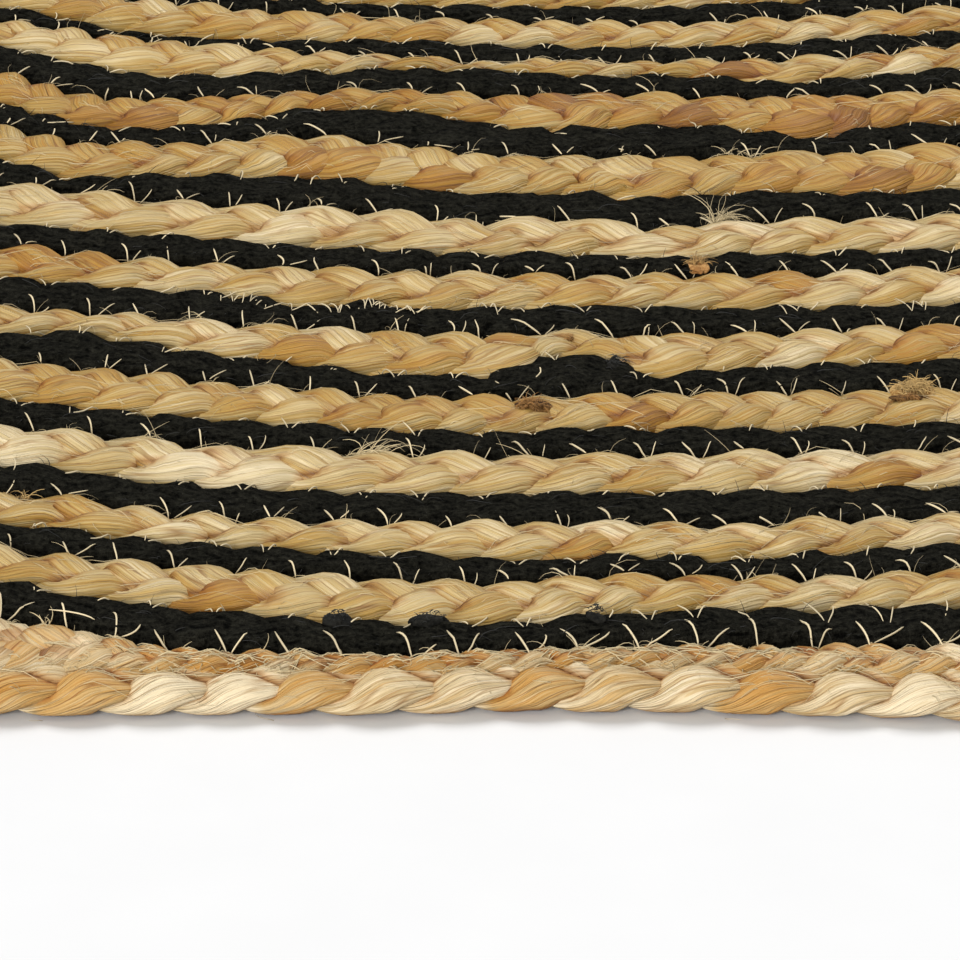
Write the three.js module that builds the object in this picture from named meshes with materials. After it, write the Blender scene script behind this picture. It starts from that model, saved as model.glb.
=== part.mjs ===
// Round braided jute rug, lying flat. A natural braid and a black braid are coiled side by side from
// the middle outwards, and a natural braid is sewn round the coil as its rim. Millimetres, +Z up. The
// origin is the middle of the underside, and the front of the rug looks towards -Y.
import * as THREE from 'three';

// Driving dimensions
const RUG_RADIUS = 600;
const RIM_WIDTH = 16;
const RIM_HEIGHT = 10.5;
const NATURAL_CROWN = 10.5;
const NATURAL_SHOULDER = 7.5;
const BLACK_CROWN = 9;
const BLACK_SHOULDER = 6.5;
const SEAM_GAP = 0.3;
const HUB_RADIUS = 1;
const NARROWEST_END = 3;
const PAIRS = 20.75;
const NATURAL_SHARE = 0.573;

// Widths of the braids where they cross the front of the rug, from the rim inwards
const FRONT_ROWS = [
  { natural: 15, black: 15 },
  { natural: 13, black: 9.5 },
  { natural: 18, black: 13 },
  { natural: 17.5, black: 11 },
  { natural: 16, black: 12 },
  { natural: 16.5, black: 12.5 },
  { natural: 19, black: 10.5 },
  { natural: 20.5, black: 14 },
  { natural: 16.5, black: 13 },
  { natural: 12.5, black: 12 },
  { natural: 14, black: 8.5 },
  { natural: 14, black: 8.5 },
];
const FRONT_ROWS_END = 16;
const FRONT_FULL = THREE.MathUtils.degToRad(26);
const FRONT_FADE = THREE.MathUtils.degToRad(62);

// Places where the rim runs flatter, fuller, narrower or wider, as travel along the edge from the front
const FLATTER = { at: 37, reach: 60, depth: 9 };
const FULLER = { at: -80, reach: 28, depth: 5 };
const NARROWER = { at: 5, reach: 45, depth: 6.5 };
const WIDER = { at: -78, reach: 22, depth: 9 };

// Slow waves of the coil, as waves in one turn
const COIL_WAVES = [
  { waves: 5.3, height: 0.8, phase: 0.4 },
  { waves: 8.7, height: 0.5, phase: 2.1 },
];
const SHARE_WAVE = { waves: 6.1, height: 0.02, phase: 1.2 };

// Angular steps: the finest, and how many of them one facet spans
const STEPS_IN_TURN = 72;
const COARSE_FACET = 4;
const FACET = 2;
const COARSE_TURNS = 6;
const FINE_WINDOW = THREE.MathUtils.degToRad(16);
const FINE_PAIRS = 1.8;

const TURN = 2 * Math.PI;
const FRONT_ANGLE = -Math.PI / 2;
const BACK_TURN = 0.25;
const BACK_SECTOR = 0.125;
const COIL_RADIUS = RUG_RADIUS - RIM_WIDTH - SEAM_GAP;
const PITCH = COIL_RADIUS / PAIRS;
const ROUND_ROWS = { from: 3, to: 8 };
const RIM_FOLLOW = 1.5;

const { smoothstep, lerp, clamp } = THREE.MathUtils;

function bump(distance, reach) {
  return Math.exp(-((distance / reach) ** 2));
}

function wave({ waves, height, phase }, turns) {
  return height * Math.sin(TURN * waves * turns + phase);
}

// The angle from a direction, between minus and plus half a turn
function angleFrom(direction, angle) {
  return Math.atan2(Math.sin(angle - direction), Math.cos(angle - direction));
}

// How far along the rug's edge an angle lies from the front, and from the back
function edgeTravel(angle) {
  const front = RUG_RADIUS * angleFrom(FRONT_ANGLE, angle);
  const back = RUG_RADIUS * angleFrom(FRONT_ANGLE + Math.PI, angle);
  return { front, back };
}

// How far the edge stands out of round at a travel along it
function outOfRound(travel) {
  const fuller = FULLER.depth * bump(travel - FULLER.at, FULLER.reach);
  const flatter = FLATTER.depth * bump(travel - FLATTER.at, FLATTER.reach);
  return fuller - flatter;
}

// The outer line of the rim, alike at the front and at the back
function rimOuter(angle) {
  const { front, back } = edgeTravel(angle);
  return RUG_RADIUS + outOfRound(front) + outOfRound(back);
}

// The line where the coil is sewn to the rim
function rimLine(angle) {
  const { front } = edgeTravel(angle);
  const narrower = NARROWER.depth * bump(front - NARROWER.at, NARROWER.reach);
  const wider = WIDER.depth * bump(front - WIDER.at, WIDER.reach);
  return rimOuter(angle) - RIM_WIDTH - SEAM_GAP + narrower - wider;
}

// Distance from the rim line to the inner edge of each front pair, less an even pitch
function frontDrifts() {
  let depth = 0;
  const drifts = FRONT_ROWS.map(({ natural, black }, row) => {
    depth += natural + black;
    return PITCH * (row + 1) - depth;
  });
  return [0, ...drifts];
}

const FRONT_DRIFTS = frontDrifts();

// The drift at a place between two pairs, faded out past the last listed one
function driftAt(pair) {
  const last = FRONT_DRIFTS.length - 1;
  const place = clamp(pair, 0, last);
  const row = Math.min(Math.floor(place), last - 1);
  const drift = lerp(FRONT_DRIFTS[row], FRONT_DRIFTS[row + 1], place - row);
  return drift * (1 - smoothstep(pair, last, FRONT_ROWS_END));
}

// The natural braid's part of a pair's width at the front
function frontShare(pair) {
  const last = FRONT_ROWS.length - 1;
  const place = clamp(pair - 1, 0, last);
  const row = Math.min(Math.floor(place), last - 1);
  const shares = FRONT_ROWS.map(({ natural, black }) => natural / (natural + black));
  const share = lerp(shares[row], shares[row + 1], place - row);
  return lerp(share, NATURAL_SHARE, smoothstep(pair, last, FRONT_ROWS_END));
}

// How fully the front widths hold at an angle
function frontHold(angle) {
  return 1 - smoothstep(Math.abs(angleFrom(FRONT_ANGLE, angle)), FRONT_FULL, FRONT_FADE);
}

// Pairs between the rim and a place on the coil. The inner turns are an even spiral. The outer ones
// are round, and step out by one pair across the back of the rug.
function pairAt(turns) {
  const fromBack = turns - BACK_TURN;
  const row = Math.round(fromBack);
  const even = fromBack - row;
  const stepped = smoothstep(even, -BACK_SECTOR, BACK_SECTOR) - 0.5;
  const outermost = PAIRS - BACK_TURN - row;
  const round = 1 - smoothstep(outermost - even, ROUND_ROWS.from, ROUND_ROWS.to);
  return outermost - lerp(even, stepped, round);
}

// Radius of the natural braid's inner edge
function innerEdge(turns) {
  const angle = TURN * turns;
  const pair = pairAt(turns);
  const followed = (rimLine(angle) - COIL_RADIUS) * Math.exp(-Math.abs(pair) / RIM_FOLLOW);
  const waves = COIL_WAVES.reduce((sum, part) => sum + wave(part, turns), 0);
  const settled = waves * smoothstep(pair, 0, 2);
  return COIL_RADIUS - PITCH * pair + followed + settled + frontHold(angle) * driftAt(pair);
}

// Radius of the seam between the natural braid and the black one outside it
function middleSeam(turns) {
  const angle = TURN * turns;
  const share = lerp(NATURAL_SHARE, frontShare(pairAt(turns)), frontHold(angle));
  const inner = innerEdge(turns);
  return inner + (share + wave(SHARE_WAVE, turns)) * (innerEdge(turns + 1) - inner);
}

// Section of a coiled braid: flat below, upright at the seams, crowned on top
function coilSection(inner, outer, crown, shoulder) {
  const width = outer - inner;
  const fullness = 0.5 + 0.5 * smoothstep(width, 0, RIM_WIDTH / 2);
  return [
    { radius: inner, height: 0 },
    { radius: outer, height: 0 },
    { radius: outer, height: shoulder * fullness },
    { radius: inner + width / 2, height: crown * fullness },
    { radius: inner, height: shoulder * fullness },
  ];
}

// Section of the rim braid: flat below, and rounded over its outer side
function rimSection(inner, outer) {
  const width = outer - inner;
  return [
    { radius: inner, height: 0 },
    { radius: outer - 0.25 * width, height: 0 },
    { radius: outer - 0.06 * width, height: 0.2 * RIM_HEIGHT },
    { radius: outer, height: 0.45 * RIM_HEIGHT },
    { radius: outer - 0.07 * width, height: 0.75 * RIM_HEIGHT },
    { radius: outer - 0.28 * width, height: 0.96 * RIM_HEIGHT },
    { radius: outer - 0.5 * width, height: RIM_HEIGHT },
    { radius: inner + 0.2 * width, height: 0.9 * RIM_HEIGHT },
    { radius: inner, height: 0.7 * RIM_HEIGHT },
  ];
}

// A closed solid through a row of sections, joined end to start when it is a ring
function sweep(stations, isRing) {
  const count = stations[0].section.length;
  const positions = stations.flatMap(({ angle, section }) => (
    section.flatMap(({ radius, height }) => [radius * Math.cos(angle), radius * Math.sin(angle), height])
  ));
  const triangles = [];
  const spans = isRing ? stations.length : stations.length - 1;
  for (let span = 0; span < spans; span += 1) {
    const here = span * count;
    const next = ((span + 1) % stations.length) * count;
    for (let side = 0; side < count; side += 1) {
      const other = (side + 1) % count;
      triangles.push(here + side, next + side, next + other);
      triangles.push(here + side, next + other, here + other);
    }
  }
  if (!isRing) {
    const end = (stations.length - 1) * count;
    for (let corner = 1; corner < count - 1; corner += 1) {
      triangles.push(0, corner, corner + 1);
      triangles.push(end, end + corner + 1, end + corner);
    }
  }
  const geometry = new THREE.BufferGeometry();
  geometry.setAttribute('position', new THREE.Float32BufferAttribute(positions, 3));
  geometry.setIndex(triangles);
  geometry.computeVertexNormals();
  return geometry;
}

// Whether a facet of the coil ends at this step. The facets are finest beside the rim and at the front.
function isStation(step) {
  const turns = step / STEPS_IN_TURN;
  if (turns < COARSE_TURNS) {
    return step % COARSE_FACET === 0;
  }
  const atFront = Math.abs(angleFrom(FRONT_ANGLE, TURN * turns)) < FINE_WINDOW;
  const fine = (atFront && turns > COARSE_TURNS + 1) || pairAt(turns) < FINE_PAIRS;
  return step % FACET === 0 || fine;
}

// One braid of the coil, between two edges given as functions of the turns. It tapers away at the
// middle of the rug and against the rim.
function coilGeometry(lowEdge, highEdge, crown, shoulder) {
  const stations = [];
  for (let step = -STEPS_IN_TURN; step < (PAIRS + 1) * STEPS_IN_TURN; step += 1) {
    const turns = step / STEPS_IN_TURN;
    const angle = TURN * turns;
    const inner = Math.max(lowEdge(turns), HUB_RADIUS) + SEAM_GAP / 2;
    const outer = Math.min(highEdge(turns), rimLine(angle)) - SEAM_GAP / 2;
    if (isStation(step) && outer - inner > NARROWEST_END) {
      stations.push({ angle, section: coilSection(inner, outer, crown, shoulder) });
    }
  }
  return sweep(stations, false);
}

function naturalCoilGeometry() {
  return coilGeometry(innerEdge, middleSeam, NATURAL_CROWN, NATURAL_SHOULDER);
}

function blackCoilGeometry() {
  return coilGeometry(middleSeam, (turns) => innerEdge(turns + 1), BLACK_CROWN, BLACK_SHOULDER);
}

function rimGeometry() {
  const stations = [];
  for (let step = 0; step < STEPS_IN_TURN; step += 1) {
    const angle = (TURN * step) / STEPS_IN_TURN;
    const section = rimSection(rimLine(angle) + SEAM_GAP / 2, rimOuter(angle));
    stations.push({ angle, section });
  }
  return sweep(stations, true);
}

function piece(name, geometry, colour, roughness) {
  const material = new THREE.MeshStandardMaterial({ color: colour, roughness, metalness: 0 });
  const mesh = new THREE.Mesh(geometry, material);
  mesh.name = name;
  return mesh;
}

const rug = new THREE.Group();
rug.add(piece('natural_braid', naturalCoilGeometry(), '#cda76a', 0.75));
rug.add(piece('black_braid', blackCoilGeometry(), '#191817', 0.95));
rug.add(piece('rim_braid', rimGeometry(), '#d3aa70', 0.72));

export default rug;
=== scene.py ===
"""Looks of a round braided jute rug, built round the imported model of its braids.

Each braid is plaited from three strands along the line that its solid follows. The stretch near the
front of the rug, which the photograph shows, is plaited finely, and the rest more simply.
"""

import logging
import math
from dataclasses import dataclass, field
from enum import Enum
from typing import Callable

import bpy
import numpy as np
from mathutils import Matrix, Vector


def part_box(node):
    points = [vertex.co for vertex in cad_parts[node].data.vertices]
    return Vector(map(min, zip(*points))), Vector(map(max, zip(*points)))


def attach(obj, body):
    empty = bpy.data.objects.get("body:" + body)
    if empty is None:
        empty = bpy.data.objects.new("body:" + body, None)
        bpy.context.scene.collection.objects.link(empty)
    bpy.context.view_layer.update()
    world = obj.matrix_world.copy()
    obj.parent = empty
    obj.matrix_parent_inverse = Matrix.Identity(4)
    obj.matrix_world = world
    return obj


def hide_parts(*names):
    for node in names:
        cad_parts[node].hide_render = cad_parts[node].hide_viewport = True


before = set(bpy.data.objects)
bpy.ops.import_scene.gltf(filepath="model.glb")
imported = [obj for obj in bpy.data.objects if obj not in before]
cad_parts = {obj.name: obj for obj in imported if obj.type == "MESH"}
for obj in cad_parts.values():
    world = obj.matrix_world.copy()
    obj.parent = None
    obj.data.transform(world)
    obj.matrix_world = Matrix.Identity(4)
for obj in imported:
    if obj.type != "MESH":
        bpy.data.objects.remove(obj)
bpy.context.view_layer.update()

LOG = logging.getLogger("rug")
MM = 0.001
TURN = 2.0 * math.pi
FRONT_ANGLE = -math.pi / 2
IMAGE_SIDE = 960
STRANDS = 3
NOISE_VALUES = 16384
TINY = 1e-9

Array = np.ndarray
Material = bpy.types.Material
Socket = bpy.types.NodeSocket
Span = tuple[float, float]
Triple = tuple[float, float, float]
Colour = Triple
Stops = tuple[tuple[float, Colour], ...]
Inputs = dict[str | int, object]


def smooth_step(value: Array, low: float, high: float) -> Array:
    """Rises smoothly from 0 at low to 1 at high.

    Args:
        value: The places to work out.
        low: Where the rise starts.
        high: Where the rise ends.

    Returns:
        The height of the step at each place.
    """
    share = np.clip((value - low) / (high - low), 0.0, 1.0)
    return share * share * (3.0 - 2.0 * share)


def bump(distance: Array, reach: float, steepness: float = 2.0) -> Array:
    """Returns a hump, 1 at no distance and fading past its reach, the more steeply the flatter its top."""
    return np.exp(-(np.abs(distance / reach) ** steepness))


def angle_from(direction: float, angle: Array) -> Array:
    """Returns the angle from a direction, between minus and plus half a turn."""
    return np.arctan2(np.sin(angle - direction), np.cos(angle - direction))


def mix(low: Array, high: Array, share: Array) -> Array:
    """Returns the value a share of the way from low to high."""
    return low + (high - low) * share


def facet_angles(facets: int) -> Array:
    """Returns the angle of each facet's corner round a tube, from its lowest line."""
    return TURN * ((np.arange(facets) + 0.5) / facets - 0.25)


def in_row(pair: Array, row: int) -> Array:
    """Returns which places, in pairs of braids from the rim, belong to a row."""
    return np.abs(pair - row) < 0.5


def flattened(values: Array, power: float) -> Array:
    """Returns cosines or sines raised to a power, with their signs kept."""
    return np.sign(values) * np.abs(values) ** power


@dataclass
class SmoothNoise:
    """Random values from -1 to 1, joined smoothly along a line.

    Args:
        seed: Seed of the values.
        spacing: Distance between two values.
        held: Share of that distance over which each value holds steady.
    """

    seed: int
    spacing: float
    held: float = 0.0
    values: Array = field(init=False)

    def __post_init__(self) -> None:
        """Draws the values."""
        self.values = np.random.default_rng(self.seed).uniform(-1.0, 1.0, NOISE_VALUES)

    def at(self, place: Array) -> Array:
        """Returns the noise at each place along the line."""
        steps = np.asarray(place) / self.spacing
        first = np.floor(steps).astype(int)
        share = smooth_step(steps - first, self.held, 1.0)
        count = len(self.values)
        return mix(self.values[first % count], self.values[(first + 1) % count], share)


@dataclass(frozen=True)
class FrontRow:
    """One pair of braids where it crosses the front of the rug, with its sizes in millimetres.

    Args:
        natural: Width of the natural braid.
        black: Width of the black braid outside it.
        lobe: Length of the natural braid from one lobe to the next.
        tone: Colour of the natural braid, from 0, cream, to 1, orange-brown.
    """

    natural: float
    black: float
    lobe: float
    tone: float


# From the rim inwards
FRONT_ROWS = (
    FrontRow(natural=15.0, black=15.0, lobe=10.8, tone=0.38),
    FrontRow(natural=13.0, black=9.5, lobe=11.9, tone=0.36),
    FrontRow(natural=18.0, black=13.0, lobe=13.3, tone=0.24),
    FrontRow(natural=17.5, black=11.0, lobe=9.6, tone=0.47),
    FrontRow(natural=16.0, black=12.0, lobe=11.8, tone=0.38),
    FrontRow(natural=16.5, black=12.5, lobe=11.5, tone=0.42),
    FrontRow(natural=19.0, black=10.5, lobe=13.5, tone=0.30),
    FrontRow(natural=20.5, black=14.0, lobe=9.6, tone=0.50),
    FrontRow(natural=16.5, black=13.0, lobe=9.5, tone=0.68),
    FrontRow(natural=12.5, black=12.0, lobe=11.2, tone=0.40),
    FrontRow(natural=14.0, black=8.5, lobe=10.5, tone=0.45),
    FrontRow(natural=14.0, black=8.5, lobe=10.5, tone=0.45),
)


class Seam(Enum):
    """The two seams of each pair of braids."""

    INNER = "inner edge of the natural braid"
    MIDDLE = "between the natural braid and the black one outside it"


@dataclass(frozen=True)
class Hump:
    """A smooth change along the front of the rug, with its sizes in millimetres.

    Args:
        at: Travel from the front of the rug to the middle of the hump.
        reach: How far it reaches to each side.
        depth: How much it changes at its middle.
        steepness: 2 for a round hump, and more for a flatter one with steeper ends.
    """

    at: float
    reach: float
    depth: float
    steepness: float = 2.0

    def over(self, travel: Array) -> Array:
        """Returns the change in metres at each travel in metres."""
        return self.depth * MM * bump(travel - self.at * MM, self.reach * MM, self.steepness)


# How far the seams of a row, counted from the rim, stray outwards near the front
SEAM_DRIFTS = {
    (Seam.MIDDLE, 1): (Hump(-5, 38, 4.0), Hump(40, 40, 1.5)),
    (Seam.INNER, 1): (Hump(18, 14, 3.5), Hump(64, 18, 3.0)),
    (Seam.MIDDLE, 2): (Hump(38, 28, 2.5),),
    (Seam.INNER, 2): (Hump(-62, 18, -4.0), Hump(52, 12, 2.5)),
    (Seam.INNER, 4): (Hump(-5, 30, 3.5),),
    (Seam.MIDDLE, 5): (
        Hump(-60, 15, -5.0),
        Hump(-3, 13, 3.5),
        Hump(13, 7, 3.0),
        Hump(27, 9.4, -6.4, steepness=8.0),
        Hump(43, 9, 4.0),
    ),
    (Seam.MIDDLE, 6): (Hump(-20, 6, 3.5), Hump(2, 5, 2.5)),
    (Seam.INNER, 7): (Hump(10, 8, 4.0), Hump(43, 10, 5.0)),
    (Seam.MIDDLE, 8): (Hump(-67, 12, 4.5),),
    (Seam.INNER, 8): (Hump(-60, 24, 7.0), Hump(-20, 16, -8.0), Hump(81, 8, 4.5)),
    (Seam.MIDDLE, 9): (Hump(-58, 20, 4.0), Hump(-6, 16, -6.0), Hump(22, 6, 4.0), Hump(72, 9, 4.5)),
    (Seam.INNER, 9): (Hump(-58, 24, 10.0), Hump(20, 40, -6.0)),
    (Seam.MIDDLE, 10): (Hump(-52, 26, 3.0), Hump(20, 38, -4.0), Hump(27, 12, 3.5), Hump(69, 14, 3.0)),
    (Seam.INNER, 10): (Hump(-35, 20, 2.0),),
    (Seam.MIDDLE, 11): (Hump(-49, 30, 4.0),),
}


@dataclass(frozen=True)
class OddLobe:
    """A lobe near the front that is browner or paler than the rest of its row.

    Args:
        at: Travel from the front of the rug to the lobe's middle, in millimetres.
        depth: How much browner it is.
        is_near: Whether it lies on the braid's near side.
    """

    at: float
    depth: float
    is_near: bool = True


# By row, counted from the rim, or 0 for the rim's own
ODD_LOBES = {
    0: (
        OddLobe(-66, 0.22),
        OddLobe(-55, 0.28),
        OddLobe(-14, 0.56),
        OddLobe(-1, -0.30),
        OddLobe(24, 0.38),
        OddLobe(60, 0.46),
    ),
    1: (OddLobe(-31, 0.46), OddLobe(-7, 0.26)),
    3: (OddLobe(35, 0.28), OddLobe(76, 0.40)),
    4: (OddLobe(38, 0.22),),
    5: (OddLobe(-22, 0.34), OddLobe(88, 0.24)),
    8: (OddLobe(-25, 0.34), OddLobe(3, 0.30), OddLobe(91, 0.28)),
    9: (OddLobe(71, 0.34), OddLobe(82, 0.36)),
    10: (OddLobe(59, 0.42), OddLobe(90, 0.34, is_near=False)),
}


@dataclass(frozen=True)
class Wave:
    """A slow wave round the coil.

    Args:
        waves: Waves in one turn.
        height: Height of a wave.
        phase: Where the first wave starts, in radians.
    """

    waves: float
    height: float
    phase: float

    def over(self, turns: Array) -> Array:
        """Returns the wave at each number of turns."""
        return self.height * np.sin(TURN * self.waves * turns + self.phase)


@dataclass
class CoilPlan:
    """The lines that the braids follow, as the solids do, with the seams' short waves added.

    Args:
        rug_radius: Radius of the rug.
        rim_width: Width of the rim braid.
        seam_gap: Gap between two solids.
        pairs: Pairs of braids from the rim to the middle.
        natural_share: The natural braid's part of a pair's width.
        hub_radius: Least radius of the coil.
        rows_end: Pairs from the rim at which the front rows' own widths have faded out.
        rim_follow: Pairs over which the coil follows the rim's waves inwards.
        settle: Pairs over which the seams' waves set in.
        back_turn: Where the outer rows step out, in turns.
        back_sector: How far the step reaches to each side, in turns.
        round_from: Pairs from the rim at which the rows start to be a spiral.
        round_to: Pairs at which they are one fully.
        front_full: Angle from the front up to which the front rows keep their widths.
        front_fade: Angle at which they have lost them.
        flatter: Where the rim's outline is flatter at the front and the back.
        fuller: Where it is fuller.
        narrower: Where the rim is narrower.
        wider: Where it is wider.
        frayed: Where it is frayed over the black braid.
        coil_waves: Waves of the coil's seams.
        share_wave: Wave of the natural braid's part.
        short_wave: Height of the seams' short waves.
    """

    rug_radius: float
    rim_width: float = 16.0 * MM
    seam_gap: float = 0.3 * MM
    pairs: float = 20.75
    natural_share: float = 0.573
    hub_radius: float = 1.0 * MM
    rows_end: float = 16.0
    rim_follow: float = 1.5
    settle: float = 2.0
    back_turn: float = 0.25
    back_sector: float = 0.125
    round_from: float = 3.0
    round_to: float = 8.0
    front_full: float = math.radians(26.0)
    front_fade: float = math.radians(62.0)
    flatter: Hump = Hump(at=37, reach=60, depth=9)
    fuller: Hump = Hump(at=-80, reach=28, depth=5)
    narrower: Hump = Hump(at=5, reach=45, depth=6.5)
    wider: Hump = Hump(at=-78, reach=22, depth=9)
    frayed: Hump = Hump(at=-75, reach=29, depth=4.6, steepness=10.0)
    coil_waves: tuple[Wave, ...] = (
        Wave(waves=5.3, height=0.8 * MM, phase=0.4),
        Wave(waves=8.7, height=0.5 * MM, phase=2.1),
    )
    share_wave: Wave = Wave(waves=6.1, height=0.02, phase=1.2)
    short_wave: float = 0.7 * MM

    def __post_init__(self) -> None:
        """Works out the even pitch and the front rows' drifts from it."""
        self.coil_radius = self.rug_radius - self.rim_width - self.seam_gap
        self.pitch = self.coil_radius / self.pairs
        natural = MM * np.array([row.natural for row in FRONT_ROWS])
        black = MM * np.array([row.black for row in FRONT_ROWS])
        self.rows = np.arange(1, len(FRONT_ROWS) + 1)
        self.drifts = np.concatenate([[0.0], self.pitch * self.rows - np.cumsum(natural + black)])
        self.shares = natural / (natural + black)
        self.tones = np.array([row.tone for row in FRONT_ROWS])
        self.lobes = MM * np.array([row.lobe for row in FRONT_ROWS])
        self.inner_noise = SmoothNoise(seed=11, spacing=0.052)
        self.middle_noise = SmoothNoise(seed=12, spacing=0.047)

    def rim_outer(self, angle: Array) -> Array:
        """Returns the radius of the rim's outer line at each angle."""
        radius = np.full_like(angle, self.rug_radius)
        for direction in (FRONT_ANGLE, FRONT_ANGLE + math.pi):
            travel = self.rug_radius * angle_from(direction, angle)
            radius = radius + self.fuller.over(travel) - self.flatter.over(travel)
        return radius

    def rim_line(self, angle: Array) -> Array:
        """Returns the radius of the line between the coil and the rim, which the outer rows follow."""
        travel = self.rug_radius * angle_from(FRONT_ANGLE, angle)
        width = self.rim_width - self.narrower.over(travel) + self.wider.over(travel)
        return self.rim_outer(angle) - width - self.seam_gap

    def rim_seam(self, angle: Array) -> Array:
        """Returns the radius of the seam at the rim, which is frayed over the black braid in one stretch."""
        travel = self.rug_radius * angle_from(FRONT_ANGLE, angle)
        return self.rim_line(angle) - self.frayed.over(travel)

    def front_hold(self, angle: Array) -> Array:
        """Returns how fully the front rows' widths hold at each angle."""
        away = np.abs(angle_from(FRONT_ANGLE, angle))
        return 1.0 - smooth_step(away, self.front_full, self.front_fade)

    def pair_at(self, turns: Array) -> Array:
        """Returns the pairs between the rim and each place on the coil.

        Args:
            turns: Turns of the coil from the middle of the rug.

        Returns:
            Pairs from the rim. The outer rows are round, and step out across the back.
        """
        from_back = turns - self.back_turn
        row = np.round(from_back)
        even = from_back - row
        stepped = smooth_step(even, -self.back_sector, self.back_sector) - 0.5
        outermost = self.pairs - self.back_turn - row
        roundness = 1.0 - smooth_step(outermost - even, self.round_from, self.round_to)
        return outermost - mix(even, stepped, roundness)

    def seam_drift(self, seam: Seam, turns: Array, radius: Array) -> Array:
        """Works out how far a seam strays near the front.

        Args:
            seam: Which seam of the pair.
            turns: Turns of the coil from the middle.
            radius: Radius of the seam before it strays.

        Returns:
            The shift outwards at each place.
        """
        travel = radius * angle_from(FRONT_ANGLE, TURN * turns)
        pair = self.pair_at(turns)
        shift = np.zeros_like(radius)
        for (drifting, row), humps in SEAM_DRIFTS.items():
            if drifting is seam:
                strays = sum(hump.over(travel) for hump in humps)
                shift = shift + np.where(in_row(pair, row), strays, 0.0)
        return shift

    def inner_edge(self, turns: Array) -> Array:
        """Returns the radius of the natural braid's inner edge."""
        angle = TURN * turns
        pair = self.pair_at(turns)
        followed = (self.rim_line(angle) - self.coil_radius) * np.exp(-np.abs(pair) / self.rim_follow)
        settled = smooth_step(pair, 0.0, self.settle)
        waves = sum(wave.over(turns) for wave in self.coil_waves)
        even = self.coil_radius - self.pitch * pair
        short = self.short_wave * self.inner_noise.at(TURN * turns * np.abs(even))
        last = len(self.drifts) - 1
        drift = np.interp(pair, np.arange(last + 1), self.drifts)
        drift = drift * (1.0 - smooth_step(pair, last, self.rows_end))
        radius = even + followed + settled * (waves + short) + self.front_hold(angle) * drift
        return radius + self.seam_drift(Seam.INNER, turns, radius)

    def middle_seam(self, turns: Array) -> Array:
        """Returns the radius of the seam between a pair's natural and black braids."""
        angle = TURN * turns
        pair = self.pair_at(turns)
        share = np.interp(pair, self.rows, self.shares)
        share = mix(share, self.natural_share, smooth_step(pair, len(self.rows) - 1, self.rows_end))
        share = mix(self.natural_share, share, self.front_hold(angle)) + self.share_wave.over(turns)
        inner = self.inner_edge(turns)
        radius = mix(inner, self.inner_edge(turns + 1.0), share)
        short = self.short_wave * self.middle_noise.at(TURN * turns * np.abs(radius))
        settled = smooth_step(pair, 0.0, self.settle)
        return radius + short * settled + self.seam_drift(Seam.MIDDLE, turns, radius)

    def outer_edge(self, turns: Array) -> Array:
        """Returns the radius of the black braid's outer edge."""
        return self.inner_edge(turns + 1.0)

    def listed_at(self, turns: Array, listed: Array, usual: float) -> Array:
        """Works out a value that is listed for the front rows.

        Args:
            turns: Turns of the coil from the middle.
            listed: The value in each front row.
            usual: The value away from the front.

        Returns:
            The value at each place on the natural braid.
        """
        pair = self.pair_at(turns)
        held = self.front_hold(TURN * turns) * (1.0 - smooth_step(pair, len(self.rows), self.rows_end))
        return mix(usual, np.interp(pair, self.rows, listed), held)


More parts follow.
